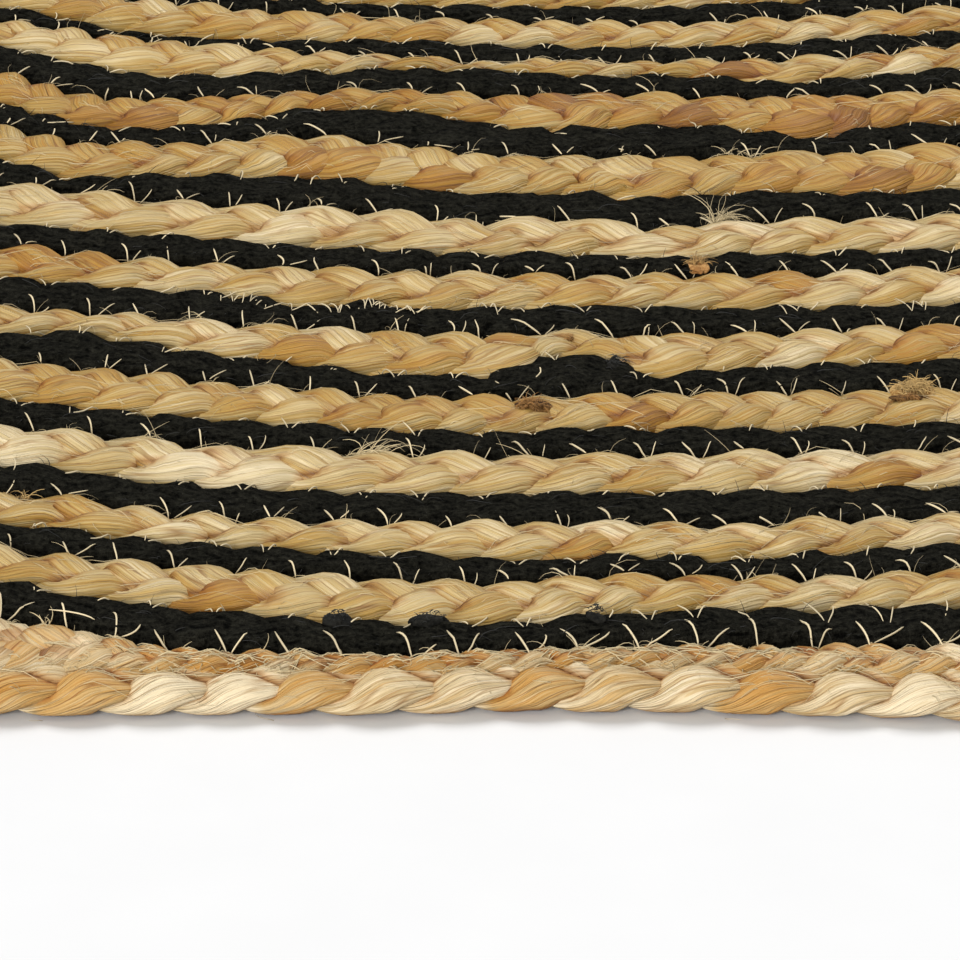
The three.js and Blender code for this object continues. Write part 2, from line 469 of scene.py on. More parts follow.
@dataclass
class Route:
    """The line along which a braid lies, as even samples of its length.

    Args:
        turns: Turns of the coil at each sample.
        inner: Radius of the braid's inner edge at each sample.
        outer: Radius of its outer edge at each sample.
        fullness: How much of the braid's full height it has at each sample.
        lobe: Length of braid from one lobe to the next on the same side, at each sample.
    """

    turns: Array
    inner: Array
    outer: Array
    fullness: Array
    lobe: Array

    def __post_init__(self) -> None:
        """Measures the line."""
        angle = TURN * self.turns
        middle = (self.inner + self.outer) / 2.0
        line = np.stack([middle * np.cos(angle), middle * np.sin(angle)], axis=1)
        steps = np.linalg.norm(np.diff(line, axis=0), axis=1)
        self.travel = np.concatenate([[0.0], np.cumsum(steps)])
        self.lobes = np.concatenate([[0.0], np.cumsum(steps / self.lobe[1:])])
        self.line = line
        self.middle = middle
        along = np.gradient(line, self.travel, axis=0)
        along /= np.linalg.norm(along, axis=1)[:, None]
        self.outward = np.stack([along[:, 1], -along[:, 0]], axis=1)

    @property
    def length(self) -> float:
        """The braid's length."""
        return float(self.travel[-1])

    def sample(self, travel: Array, values: Array) -> Array:
        """Returns values, listed along the line, at each travel."""
        return np.interp(travel, self.travel, values)

    def travel_at(self, turns: Array) -> Array:
        """Returns the travel at each number of turns."""
        return np.interp(turns, self.turns, self.travel)

    def edge(self, travel: Array, side: int) -> Array:
        """Returns how far out an edge lies: the outer one for a side of 1, the inner one for -1."""
        return self.sample(travel, (self.outer if side > 0 else self.inner) - self.middle)

    def place(self, travel: Array, across: Array, height: Array) -> Array:
        """Works out points beside the line.

        Args:
            travel: How far along the line each point is.
            across: How far outwards from the line it is.
            height: Its height above the floor.

        Returns:
            The points, with X, Y and Z in the last axis.
        """
        middle = self.sample(travel, self.middle)
        angle = TURN * self.sample(travel, self.turns)
        out_x = self.sample(travel, self.outward[:, 0])
        out_y = self.sample(travel, self.outward[:, 1])
        x = middle * np.cos(angle) + across * out_x
        y = middle * np.sin(angle) + across * out_y
        return np.stack([x, y, height], axis=-1)

    def stretches(self, inside: Callable[[Array], Array]) -> list[tuple[float, float, bool]]:
        """Splits the line where it enters or leaves a region.

        Args:
            inside: Says which points of the line are in the region.

        Returns:
            The stretches in order, each with its start, its end and whether it is inside.
        """
        within = inside(self.line)
        changes = np.flatnonzero(np.diff(within.astype(int))) + 1
        bounds = np.concatenate([[0], changes, [len(within) - 1]])
        pairs = zip(bounds[:-1], bounds[1:])
        return [(self.travel[low], self.travel[high], bool(within[low])) for low, high in pairs]


class MeshBuffer:
    """Collects closed tubes and makes one mesh object of them."""

    def __init__(self) -> None:
        """Starts with no tubes."""
        self.points: list[Array] = []
        self.corners: list[Array] = []
        self.sizes: list[Array] = []
        self.spots: list[Array] = []
        self.tones: list[Array] = []
        self.painted_shades: list[Array] = []
        self.count = 0

    @property
    def triangles(self) -> int:
        """The number of triangles collected."""
        return int(sum((sizes - 2).sum() for sizes in self.sizes))

    def add_tubes(
        self,
        centres: Array,
        sideways: Array,
        upwards: Array,
        facets: int,
        along: Array,
        girth: float,
        tone: Array,
        painted_shade: Array | None = None,
        swell: Array | None = None,
        power: float = 1.0,
    ) -> None:
        """Adds closed tubes that all have the same number of rings.

        Args:
            centres: Middle of each ring, with axes tube, ring and XYZ.
            sideways: Each ring's half width, as a vector.
            upwards: Each ring's half height, as a vector.
            facets: Facets round a tube.
            along: Travel of each ring along its tube, for the surface map.
            girth: Distance round a tube, for the surface map.
            tone: Colour tone of each ring.
            painted_shade: Painted shade of each point, with axes tube, ring and facet.
            swell: How far each point lies from the middle, in tube radii, with the same axes.
            power: 1 for round tubes, and less for tubes with flatter sides.
        """
        tubes, rings = centres.shape[:2]
        turn = facet_angles(facets)
        wide = flattened(np.cos(turn), power)[:, None]
        high = flattened(np.sin(turn), power)[:, None]
        arms = sideways[:, :, None, :] * wide + upwards[:, :, None, :] * high
        if swell is not None:
            arms = arms * swell[..., None]
        points = centres[:, :, None, :] + arms
        index = self.count + np.arange(tubes * rings * facets).reshape(tubes, rings, facets)
        beside = np.roll(index, -1, axis=2)
        quads = np.stack([index[:, :-1], index[:, 1:], beside[:, 1:], beside[:, :-1]], axis=-1)
        caps = np.stack([index[:, 0], index[:, -1, ::-1]], axis=1)
        travel = np.broadcast_to(along[:, :, None], index.shape)
        turned = np.broadcast_to(girth * np.arange(facets) / facets, index.shape)
        low = np.stack([travel, turned], axis=-1)
        high = np.stack([travel, turned + girth / facets], axis=-1)
        quad_spots = np.stack([low[:, :-1], low[:, 1:], high[:, 1:], high[:, :-1]], axis=-2)
        cap_spots = np.stack([low[:, 0], low[:, -1, ::-1]], axis=1)
        shade = np.zeros(index.shape) if painted_shade is None else painted_shade
        self.points.append(points.reshape(-1, 3))
        self.corners += [quads.reshape(-1), caps.reshape(-1)]
        self.spots += [quad_spots.reshape(-1, 2), cap_spots.reshape(-1, 2)]
        self.sizes += [np.full(quads.size // 4, 4), np.full(2 * tubes, facets)]
        self.tones.append(np.broadcast_to(tone[:, :, None], index.shape).reshape(-1))
        self.painted_shades.append(shade.reshape(-1))
        self.count += index.size

    def add_fibres(self, centres: Array, radius: Array, facets: int, tone: Array) -> None:
        """Adds thin round fibres.

        Args:
            centres: Middle of each ring, with axes fibre, ring and XYZ.
            radius: Each ring's radius.
            facets: Facets round a fibre.
            tone: Colour tone of each fibre.
        """
        rings = centres.shape[1]
        centres[..., 2] = np.maximum(centres[..., 2], radius)
        tangent = np.gradient(centres, axis=1)
        tangent /= np.linalg.norm(tangent, axis=2)[..., None] + TINY
        sideways = np.cross(tangent, (0.0, 0.0, 1.0)) + TINY
        sideways /= np.linalg.norm(sideways, axis=2)[..., None]
        upwards = np.cross(sideways, tangent)
        steps = np.linalg.norm(np.diff(centres, axis=1), axis=2)
        along = np.concatenate([np.zeros((len(centres), 1)), np.cumsum(steps, axis=1)], axis=1)
        self.add_tubes(
            centres,
            sideways * radius[..., None],
            upwards * radius[..., None],
            facets,
            along,
            girth=TURN * float(radius.mean()),
            tone=np.repeat(tone[:, None], rings, axis=1),
        )

    def build(self, name: str) -> bpy.types.Object:
        """Makes the object.

        Args:
            name: The object's name.

        Returns:
            The new object, with its map and tones.
        """
        mesh = bpy.data.meshes.new(name)
        points = np.concatenate(self.points)
        corners = np.concatenate(self.corners)
        sizes = np.concatenate(self.sizes)
        mesh.vertices.add(len(points))
        mesh.vertices.foreach_set("co", points.reshape(-1))
        mesh.loops.add(len(corners))
        mesh.loops.foreach_set("vertex_index", corners)
        mesh.polygons.add(len(sizes))
        mesh.polygons.foreach_set("loop_start", np.concatenate([[0], np.cumsum(sizes)[:-1]]))
        mesh.update(calc_edges=True)
        mesh.polygons.foreach_set("use_smooth", np.ones(len(sizes), dtype=bool))
        spots = mesh.uv_layers.new(name="strand")
        spots.data.foreach_set("uv", np.concatenate(self.spots).reshape(-1))
        # Besides the fibres' own tone, each point keeps its painted shade from the strands beside it and
        # from the floor
        for key, values in (("tone", self.tones), ("painted_shade", self.painted_shades)):
            layer = mesh.attributes.new(key, "FLOAT", "POINT")
            layer.data.foreach_set("value", np.concatenate(values))
        mesh.validate()
        piece = bpy.data.objects.new(name, mesh)
        bpy.context.scene.collection.objects.link(piece)
        LOG.info("%s: %d triangles", name, self.triangles)
        return piece


class Detail(Enum):
    """How finely a stretch of braid is plaited: facets round a strand, and rings in a period."""

    FINE = (15, 26)
    WOOLLY = (11, 20)
    ROUND = (4, 6)
    FACE_FINE = (20, 44)
    FACE_ROUND = (6, 9)
    CREST_FINE = (14, 24)


@dataclass(frozen=True)
class StrandShape:
    """One strand's section at places along a braid.

    Args:
        across: How far outwards from the braid's line its middle is.
        level: Height of its middle.
        half_width: Its half width.
        half_height: Its half height.
    """

    across: Array
    level: Array
    half_width: Array
    half_height: Array


@dataclass
class Plait:
    """A flat three-strand braid.

    Args:
        route: The line that it follows.
        height: Its full height.
        middle_width: A strand's half width where it crosses the middle, in braid widths.
        edge_width: Its half width where it turns at the edge, in braid widths.
        middle_height: Its half height in the middle, in braid heights.
        edge_height: Its half height at the edge, in braid heights.
        centre: Height of the strands' middle line, in braid heights.
        rise: How far a strand rises and falls where it crosses the others, in braid heights.
        roll: How far a strand rises over its whole swing outwards and back, in braid heights.
        belly: How suddenly a strand takes its edge width and height near the edge.
        sag: How much lower a strand lies at the edges, in braid heights.
        squareness: How much longer it keeps to the edge than a plain wave does.
        skew: How much a strand lags behind its swing on top of the braid, in radians.
        swell_skew: The same for the swing by which it swells at the edge.
        flatness: 1 for a round strand, and less for one with flatter sides.
        unevenness: How much a strand's thickness varies.
        pace_change: How much the lobes' places stray from even ones, in lobes.
        hurry_share: Part of that for the strays over a short length.
        dive: How far past the middle a strand dives under the next one, in whole swings.
        crease_shade_depth: Height over the strand beneath, up to which a strand is shaded.
        contact_depth: Distance from the strand beside it, up to which a strand is shaded, or 0.
        floor_shade: Heights between which a strand's shade near the floor fades, in braid heights.
        locks: Height of the fibre locks on a strand, in strand radii.
        lock_turn: Length over which they wind once round it.
        is_woolly: Whether the locks are short random tufts.
        tone_spread: How much the colour tone varies from lobe to lobe.
        rare_tone: How much browner a few of the lobes are.
        rare_lobes: Noise at which a lobe starts to be one of those, and is one of them fully.
        odd_lobes: Listed lobes, each with the travel to its middle, its side, and how much browner it is.
        odd_middle: Where the middle of such a lobe lies, in lobes.
        odd_fade: Distances from there over which its colour fades, in lobes.
        seed: Seed of the braid's unevenness.
    """

    route: Route
    height: float
    middle_width: float = 0.31
    edge_width: float = 0.20
    middle_height: float = 0.385
    edge_height: float = 0.345
    centre: float = 0.5
    rise: float = 0.095
    roll: float = 0.0
    belly: float = 4.0
    sag: float = 0.0
    squareness: float = 0.32
    skew: float = -0.35
    swell_skew: float = -0.35
    flatness: float = 0.70
    unevenness: float = 0.16
    pace_change: float = 0.8
    hurry_share: float = 0.2
    dive: float = 0.085
    crease_shade_depth: float = 1.4 * MM
    contact_depth: float = 0.0
    floor_shade: Span = (0.15, 0.5)
    locks: float = 0.07
    lock_turn: float = 70.0 * MM
    is_woolly: bool = False
    tone_spread: float = 0.11
    rare_tone: float = 0.16
    rare_lobes: Span = (0.80, 0.98)
    odd_lobes: tuple[Triple, ...] = ()
    odd_middle: float = 0.45
    odd_fade: Span = (0.42, 0.55)
    seed: int = 1

    def __post_init__(self) -> None:
        """Draws the strands' noises."""
        self.pace = SmoothNoise(self.seed, spacing=0.16)
        self.hurry = SmoothNoise(self.seed + 1, spacing=0.03)
        self.thickness = [SmoothNoise(self.seed + 10 + strand, 0.016) for strand in range(STRANDS)]
        self.wander = [SmoothNoise(self.seed + 20 + strand, 0.024) for strand in range(STRANDS)]
        self.lobe_tone = [SmoothNoise(self.seed + 30 + strand, 0.5, held=0.85) for strand in range(STRANDS)]
        self.short_tone = [SmoothNoise(self.seed + 40 + strand, 0.013) for strand in range(STRANDS)]
        self.lock_drift = [SmoothNoise(self.seed + 50 + strand, 0.012) for strand in range(STRANDS)]

    def swing(self, travel: Array, strand: int) -> Array:
        """Returns the angle of a strand's swing from side to side."""
        strays = self.pace_change * (self.pace.at(travel) + self.hurry_share * self.hurry.at(travel))
        return TURN * (self.route.sample(travel, self.route.lobes) + strays + strand) / STRANDS

    def shape(self, travel: Array, strand: int) -> StrandShape:
        """Works out a strand's section.

        Args:
            travel: Places along the line.
            strand: Number of the strand.

        Returns:
            The strand's section at each place.
        """
        route = self.route
        swing = self.swing(travel, strand)
        turned = swing + self.skew * np.sin(2.0 * swing)
        side = np.sin(turned)
        outward = smooth_step(side, -0.5, 0.5)
        width = 2.0 * mix(-route.edge(travel, -1), route.edge(travel, 1), outward)
        height = self.height * route.sample(travel, route.fullness)
        uneven = 1.0 + self.unevenness * self.thickness[strand].at(travel)
        wander = self.wander[strand].at(travel)
        kept = side * (1.0 + self.squareness * (1.0 - side**2))
        at_edge = np.abs(np.sin(swing + self.swell_skew * np.sin(2.0 * swing))) ** self.belly
        lift = -self.rise * np.sin(2.0 * swing) - self.roll * np.cos(turned) - self.sag * at_edge
        level = height * (self.centre + lift + 0.012 * wander)
        half_width = width * mix(self.middle_width, self.edge_width, at_edge) * uneven
        half_height = height * mix(self.middle_height, self.edge_height, at_edge)
        half_height = np.minimum(half_height * mix(1.0, uneven, 0.5), level / (1.0 + self.locks))
        across = width * ((0.5 - self.edge_width) * kept + 0.025 * wander)
        return StrandShape(across, level, half_width, half_height)

    def top(self, travel: Array, across: Array, without: int = -1) -> Array:
        """Works out the height of the braid's upper surface.

        Args:
            travel: Places along the line.
            across: Places outwards from the line.
            without: Number of a strand that is left out.

        Returns:
            The height at each place, or 0 where no strand lies.
        """
        highest = np.zeros_like(travel)
        for strand in range(STRANDS):
            if strand == without:
                continue
            shape = self.shape(travel, strand)
            off = np.abs(across - shape.across) / shape.half_width
            share = np.maximum(1.0 - off ** (2.0 / self.flatness), 0.0) ** (self.flatness / 2.0)
            crown = shape.level + shape.half_height * share
            highest = np.where(off < 1.0, np.maximum(highest, crown), highest)
        return highest

    def contact_shade(self, travel: Array, across: Array, height: Array, without: int) -> Array:
        """Works out the shade on a strand's surface where another strand comes close.

        Args:
            travel: Places along the line.
            across: Places outwards from the line.
            height: Heights above the floor.
            without: Number of the strand that the surface belongs to.

        Returns:
            The shade at each place, from 0 to 1.
        """
        nearest = np.full_like(travel, self.height)
        for strand in range(STRANDS):
            if strand == without:
                continue
            shape = self.shape(travel, strand)
            sideways = (across - shape.across) / shape.half_width
            off = np.hypot(sideways, (height - shape.level) / shape.half_height)
            gap = (off - 1.0) * np.minimum(shape.half_width, shape.half_height)
            nearest = np.minimum(nearest, np.maximum(gap, 0.0))
        return 1.0 - smooth_step(nearest, 0.0, self.contact_depth)

    def lock_swell(self, travel: Array, strand: int, facets: int) -> Array:
        """Works out the fibre locks that stand out of a strand.

        Args:
            travel: Places along the line.
            strand: Number of the strand.
            facets: Facets round the strand.

        Returns:
            Each point's distance from the strand's middle, in strand radii.
        """
        if self.is_woolly:
            first = self.seed + 60 + 20 * strand
            tufts = [SmoothNoise(first + facet, 0.0026).at(travel) for facet in range(facets)]
            return 1.0 + self.locks * np.stack(tufts, axis=1)
        turned = facet_angles(facets)[None, :] + (TURN * travel / self.lock_turn)[:, None]
        drift = 2.5 * self.lock_drift[strand].at(travel)[:, None]
        # Two rows of ridges, which wander along the strand
        ridges = 0.6 * np.cos(5.0 * turned + drift) + 0.4 * np.cos(3.0 * turned - 1.7 * drift)
        return 1.0 + self.locks * ridges

    def lobe_places(self, travel: Array, strand: int) -> Array:
        """Returns the running number of a strand's lobes, which changes where the strand dives."""
        return 2.0 * (self.swing(travel, strand) / TURN - self.dive)

    def lobe_spread(self, travel: Array, strand: int) -> Array:
        """Works out how much browner a strand is than its braid, from lobe to lobe.

        Args:
            travel: Places along the line.
            strand: Number of the strand.

        Returns:
            What is added to the braid's tone at each place.
        """
        places = self.lobe_places(travel, strand)
        lobe = self.lobe_tone[strand].at(places / 2.0)
        rare = smooth_step(lobe, *self.rare_lobes)
        spread = self.tone_spread * (lobe + self.short_tone[strand].at(travel)) + self.rare_tone * rare
        for middle, side, depth in self.odd_lobes:
            at = self.lobe_places(np.array([middle]), strand)[0]
            number = math.floor(at)
            # Lobes with an even number lie on the braid's outer side
            if number % 2 == (0 if side > 0 else 1):
                off = np.abs(places - number - self.odd_middle)
                spread = spread + depth * (1.0 - smooth_step(off, *self.odd_fade))
        return spread

    def add_strand(self, buffer: MeshBuffer, travel: Array, strand: int, facets: int, tone: Array) -> None:
        """Adds one strand along a stretch of the braid.

        Args:
            buffer: Takes the strand's mesh.
            travel: Where the strand's rings stand along the line.
            strand: Number of the strand.
            facets: Facets round the strand.
            tone: The braid's colour tone at each ring.
        """
        shape = self.shape(travel, strand)
        centres = self.route.place(travel, shape.across, shape.level)
        tangent = np.gradient(centres, travel, axis=0)
        tangent /= np.linalg.norm(tangent, axis=1)[:, None]
        sideways = np.cross(tangent, [0.0, 0.0, 1.0])
        sideways /= np.linalg.norm(sideways, axis=1)[:, None]
        upwards = np.cross(sideways, tangent)
        spread = self.lobe_spread(travel, strand)
        wide = flattened(np.cos(facet_angles(facets)), self.flatness)
        high = flattened(np.sin(facet_angles(facets)), self.flatness)
        # The strand's sideways direction points inwards along the braid's way
        across = shape.across[:, None] + shape.half_width[:, None] * wide
        height = shape.level[:, None] + shape.half_height[:, None] * high
        travels = np.broadcast_to(travel[:, None], across.shape)
        # Painted shade, kept on the mesh for the material: darker low on the strand near the floor, where it
        # lies just over or under another strand, and where another strand presses beside it
        clear = height - self.top(travels, across, without=strand)
        painted_shade = np.maximum(
            1.0 - smooth_step(height / self.height, *self.floor_shade),
            0.9 * (1.0 - smooth_step(np.abs(clear), 0.0, self.crease_shade_depth)),
        )
        if self.contact_depth > 0.0:
            painted_shade = np.maximum(painted_shade, self.contact_shade(travels, across, height, strand))
        buffer.add_tubes(
            centres[None],
            (sideways * shape.half_width[:, None])[None],
            (upwards * shape.half_height[:, None])[None],
            facets,
            travel[None],
            girth=math.pi * float(shape.half_width.mean() + shape.half_height.mean()),
            tone=(tone + spread)[None],
            painted_shade=painted_shade[None],
            swell=self.lock_swell(travel, strand, facets)[None],
            power=self.flatness,
        )


@dataclass(frozen=True)
class View:
    """The photograph's view of the rug.

    Args:
        aim: The point on the floor at the middle of the picture.
        distance: Distance from the camera to that point.
        elevation: Slope of the view, in degrees.
        roll: Turn of the picture, in degrees.
        focal_pixels: Focal length in pixels of the picture.
        margin: Width of rug past the picture's sides that is made as finely as what it shows.
        furthest: Y of the furthest part of the rug that it shows.
    """

    aim: Span = (12.24 * MM, -492.6 * MM)
    distance: float = 1250.8 * MM
    elevation: float = 22.5
    roll: float = 1.855
    focal_pixels: float = 7280.6
    margin: float = 8.0 * MM
    furthest: float = -248.0 * MM

    def shows(self, points: Array) -> Array:
        """Returns which points on the floor lie in the picture or its margin."""
        away = self.distance + (points[:, 1] - self.aim[1]) * math.cos(math.radians(self.elevation))
        half_width = IMAGE_SIDE / 2 / self.focal_pixels * away + self.margin
        return (np.abs(points[:, 0] - self.aim[0]) < half_width) & (points[:, 1] < self.furthest)

    def add_camera(self) -> None:
        """Adds the camera and makes it the scene's own."""
        slope = math.radians(self.elevation)
        aim = Vector((self.aim[0], self.aim[1], 0.0))
        back = Vector((0.0, -math.cos(slope), math.sin(slope)))
        roll = Matrix.Rotation(math.radians(self.roll), 3, "Z").to_quaternion()
        data = bpy.data.cameras.new("photo_camera")
        data.sensor_width = 36.0
        data.lens = self.focal_pixels / IMAGE_SIDE * data.sensor_width
        data.clip_start = 0.05
        data.clip_end = 100.0
        camera = bpy.data.objects.new("photo_camera", data)
        camera.location = aim + back * self.distance
        camera.rotation_mode = "QUATERNION"
        camera.rotation_quaternion = (-back).to_track_quat("-Z", "Y") @ roll
        bpy.context.scene.collection.objects.link(camera)
        bpy.context.scene.camera = camera


class Nodes:
    """A material's nodes, added one after another."""

    def __init__(self, name: str) -> None:
        """Starts an empty material of the given name."""
        self.material = bpy.data.materials.new(name)
        self.material.use_nodes = True
        self.tree = self.material.node_tree
        self.tree.nodes.clear()
        self.shader = self.add("ShaderNodeBsdfPrincipled")
        self.add("ShaderNodeOutputMaterial", {"Surface": self.shader.outputs["BSDF"]})

    def add(self, kind: str, inputs: Inputs | None = None, **settings: object) -> bpy.types.Node:
        """Adds a node.

        Args:
            kind: The node's type.
            inputs: What each of its inputs is linked to or set to, or None where it stays as it is.
            settings: The node's properties.

        Returns:
            The node.
        """
        node = self.tree.nodes.new(kind)
        for key, value in settings.items():
            setattr(node, key, value)
        for key, value in (inputs or {}).items():
            self.fill(node.inputs[key], value)
        return node

    def fill(self, socket: Socket, value: object) -> None:
        """Links a socket to another one, or sets it to a number or a colour."""
        if isinstance(value, bpy.types.NodeSocket):
            self.tree.links.new(value, socket)
        elif value is not None:
            socket.default_value = value

    def finish(
        self, colour: Socket, roughness: Socket | float, specular: float, normal: Socket | None = None
    ) -> Material:
        """Fills the shader's inputs, and returns the material."""
        names = ("Base Color", "Roughness", "Specular IOR Level", "Normal")
        for name, value in zip(names, (colour, roughness, specular, normal)):
            self.fill(self.shader.inputs[name], value)
        return self.material

    def maths(
        self, operation: str, first: Socket | float, second: Socket | float = 0.0, clamp: bool = False
    ) -> Socket:
        """Returns the result of a Math node, kept from 0 to 1 where it is clamped."""
        node = self.add("ShaderNodeMath", {0: first, 1: second}, operation=operation, use_clamp=clamp)
        return node.outputs[0]

    def attribute(self, name: str) -> Socket:
        """Returns a number stored on the mesh."""
        return self.add("ShaderNodeAttribute", attribute_name=name).outputs["Fac"]

    def along_strand(
        self, stretch: Span, twist: float = 0.0, warp: Socket | None = None, amount: float = 0.0
    ) -> Socket:
        """Stretches, twists and warps the strand's map.

        Args:
            stretch: What the map is multiplied by, along and across the strand.
            twist: How far a fibre moves across the strand for its length along it.
            warp: A noise that shifts the map across the strand.
            amount: How far it shifts the map, in metres.

        Returns:
            The map.
        """
        spots = self.add("ShaderNodeUVMap", uv_map="strand")
        split = self.add("ShaderNodeSeparateXYZ", {"Vector": spots.outputs["UV"]})
        along, across = split.outputs["X"], split.outputs["Y"]
        across = self.maths("ADD", across, self.maths("MULTIPLY", along, twist))
        if warp is not None:
            across = self.maths("ADD", across, self.shifted(warp, amount))
        along = self.maths("MULTIPLY", along, stretch[0])
        across = self.maths("MULTIPLY", across, stretch[1])
        return self.add("ShaderNodeCombineXYZ", {"X": along, "Y": across}).outputs["Vector"]

    def locks(self, vector: Socket) -> tuple[Socket, Socket]:
        """Parts a strand into long tapering locks with Voronoi Texture nodes.

        Args:
            vector: The strand's stretched map, with a lock about one unit long and wide.

        Returns:
            Each lock's random value, and the distance to its edge.
        """
        inputs = {"Vector": vector, "Scale": 1.0}
        cell = self.add("ShaderNodeTexVoronoi", inputs, voronoi_dimensions="2D")
        edge = self.add("ShaderNodeTexVoronoi", inputs, voronoi_dimensions="2D", feature="DISTANCE_TO_EDGE")
        split = self.add("ShaderNodeSeparateColor", {"Color": cell.outputs["Color"]})
        return split.outputs["Red"], edge.outputs["Distance"]

    def shifted(self, value: Socket, amount: float) -> Socket:
        """Returns a value from 0 to 1 as a shift to both sides, of at most half the amount."""
        return self.maths("MULTIPLY", self.maths("SUBTRACT", value, 0.5), amount)

    def in_space(self) -> Socket:
        """Returns the object's own coordinates."""
        return self.add("ShaderNodeTexCoord").outputs["Object"]

    def noise(self, vector: Socket, scale: float, detail: float = 2.0, roughness: float = 0.5) -> Socket:
        """Returns a Noise Texture's value at a vector."""
        inputs = {"Vector": vector, "Scale": scale, "Detail": detail, "Roughness": roughness}
        return self.add("ShaderNodeTexNoise", inputs).outputs["Fac"]

    def ramp(self, value: Socket, stops: Stops) -> Socket:
        """Adds a Color Ramp node.

        Args:
            value: What it reads.
            stops: Places and colours, in order.

        Returns:
            Its colour.
        """
        node = self.add("ShaderNodeValToRGB", {"Fac": value})
        elements = node.color_ramp.elements
        while len(elements) < len(stops):
            elements.new(0.5)
        for element, (place, colour) in zip(elements, stops):
            element.position = place
            element.color = (*colour, 1.0)
        return node.outputs["Color"]

    def blend(self, share: Socket, first: object, second: Colour, way: str = "MULTIPLY") -> Socket:
        """Returns a colour with a share of a second one mixed in, or multiplied in."""
        inputs = {0: share, 6: first, 7: (*second, 1.0)}
        return self.add("ShaderNodeMix", inputs, data_type="RGBA", blend_type=way).outputs[2]

    def bump(self, height: Socket, strength: float, distance: float, under: Socket | None = None) -> Socket:
        """Returns a Bump node's normal, added to the normal of a bump under it."""
        inputs = {"Strength": strength, "Distance": distance, "Height": height, "Normal": under}
        return self.add("ShaderNodeBump", inputs).outputs["Normal"]


JUTE_PALETTE = (
    (0.0, (0.63, 0.52, 0.325)),
    (0.28, (0.465, 0.345, 0.155)),
    (0.5, (0.37, 0.232, 0.058)),
    (0.75, (0.33, 0.16, 0.018)),
    (1.0, (0.21, 0.085, 0.008)),
)
RIM_PALETTE = (
    (0.0, (0.63, 0.52, 0.34)),
    (0.28, (0.47, 0.345, 0.175)),
    (0.5, (0.44, 0.262, 0.085)),
    (0.75, (0.39, 0.18, 0.03)),
    (1.0, (0.25, 0.10, 0.012)),
)


@dataclass(frozen=True)
class JuteFinish:
    """Undyed jute: silky fibres from cream to orange-brown, with painted shade where strands meet, near the
    floor and between the fibre locks.

    A stretch here is what the strand's map is multiplied by, along and across the strand.

    Args:
        name: The material's name.
        palette: Colours by tone.
        twist: Slant of the fibres to their strand.
        warp: Stretch of the noise that bends the fibres.
        silk: Stretch of the finest streaks.
        lock: Stretch of the fibre locks.
        fibre: Stretch of the single fibres.
        bend: How far the warp shifts the streaks and fibres across the strand.
        lock_bend: How far it shifts the locks.
        patch_scale: Scale of the patches of colour.
        mottling: How much the locks, the fibres, the streaks and the patches change the tone.
        parting_shade_colour: What multiplies the colour between two locks, as painted shade in the grooves
            there.
        shallow_shade_colour: What multiplies it where the painted shade from the mesh is light, as a warm
            tint.
        deep_shade_colour: What multiplies it as well where that painted shade is deep, as dark brown.
    """

    name: str
    palette: Stops = JUTE_PALETTE
    twist: float = 0.12
    warp: Span = (110.0, 300.0)
    silk: Span = (80.0, 6000.0)
    lock: Span = (45.0, 900.0)
    fibre: Span = (70.0, 2600.0)
    bend: float = 0.8 * MM
    lock_bend: float = 0.9 * MM
    patch_scale: float = 85.0
    mottling: tuple[float, float, float, float] = (0.20, 0.22, 0.62, 0.40)
    parting_shade_colour: Colour = (0.48, 0.33, 0.19)
    shallow_shade_colour: Colour = (0.85, 0.48, 0.14)
    deep_shade_colour: Colour = (0.16, 0.085, 0.045)

    def material(self) -> Material:
        """Makes the material.

        Returns:
            The new material.
        """
        nodes = Nodes(self.name)
        warp = nodes.noise(nodes.along_strand(self.warp), 1.0)
        silk = nodes.noise(nodes.along_strand(self.silk, self.twist, warp, self.bend), 1.0, 3.0, 0.7)
        lock, lock_edge = nodes.locks(nodes.along_strand(self.lock, self.twist, warp, self.lock_bend))
        fibre, fibre_edge = nodes.locks(nodes.along_strand(self.fibre, self.twist, warp, self.bend))
        patch = nodes.noise(nodes.in_space(), self.patch_scale)
        tone = nodes.attribute("tone")
        for value, amount in zip((lock, fibre, silk, patch), self.mottling):
            tone = nodes.maths("ADD", tone, nodes.shifted(value, amount))
        colour = nodes.ramp(tone, self.palette)
        # Painted shade in the grooves between the fibre locks, stronger where the warp noise is high
        parting_shade = nodes.maths("SUBTRACT", 1.0, nodes.maths("MULTIPLY", lock_edge, 12.0), True)
        parting_shade = nodes.maths("MULTIPLY", parting_shade, nodes.maths("ADD", nodes.shifted(warp, 2.0), 0.6), True)
        colour = nodes.blend(parting_shade, colour, self.parting_shade_colour)
        # Painted shade from the mesh: a warm tint where it is light, and dark brown where it is deep
        painted_shade = nodes.maths("MULTIPLY", nodes.attribute("painted_shade"), 0.95)
        colour = nodes.blend(painted_shade, colour, self.shallow_shade_colour)
        colour = nodes.blend(nodes.maths("POWER", painted_shade, 2.0), colour, self.deep_shade_colour)
        shine = nodes.maths("ADD", nodes.maths("MULTIPLY", silk, 0.3), 0.36)
        ridges = nodes.bump(nodes.maths("MINIMUM", lock_edge, 0.3), 0.5, 1.0 * MM)
        ribs = nodes.bump(nodes.maths("MINIMUM", fibre_edge, 0.3), 0.6, 0.7 * MM, ridges)
        return nodes.finish(colour, shine, 0.22, nodes.bump(silk, 0.6, 0.3 * MM, ribs))


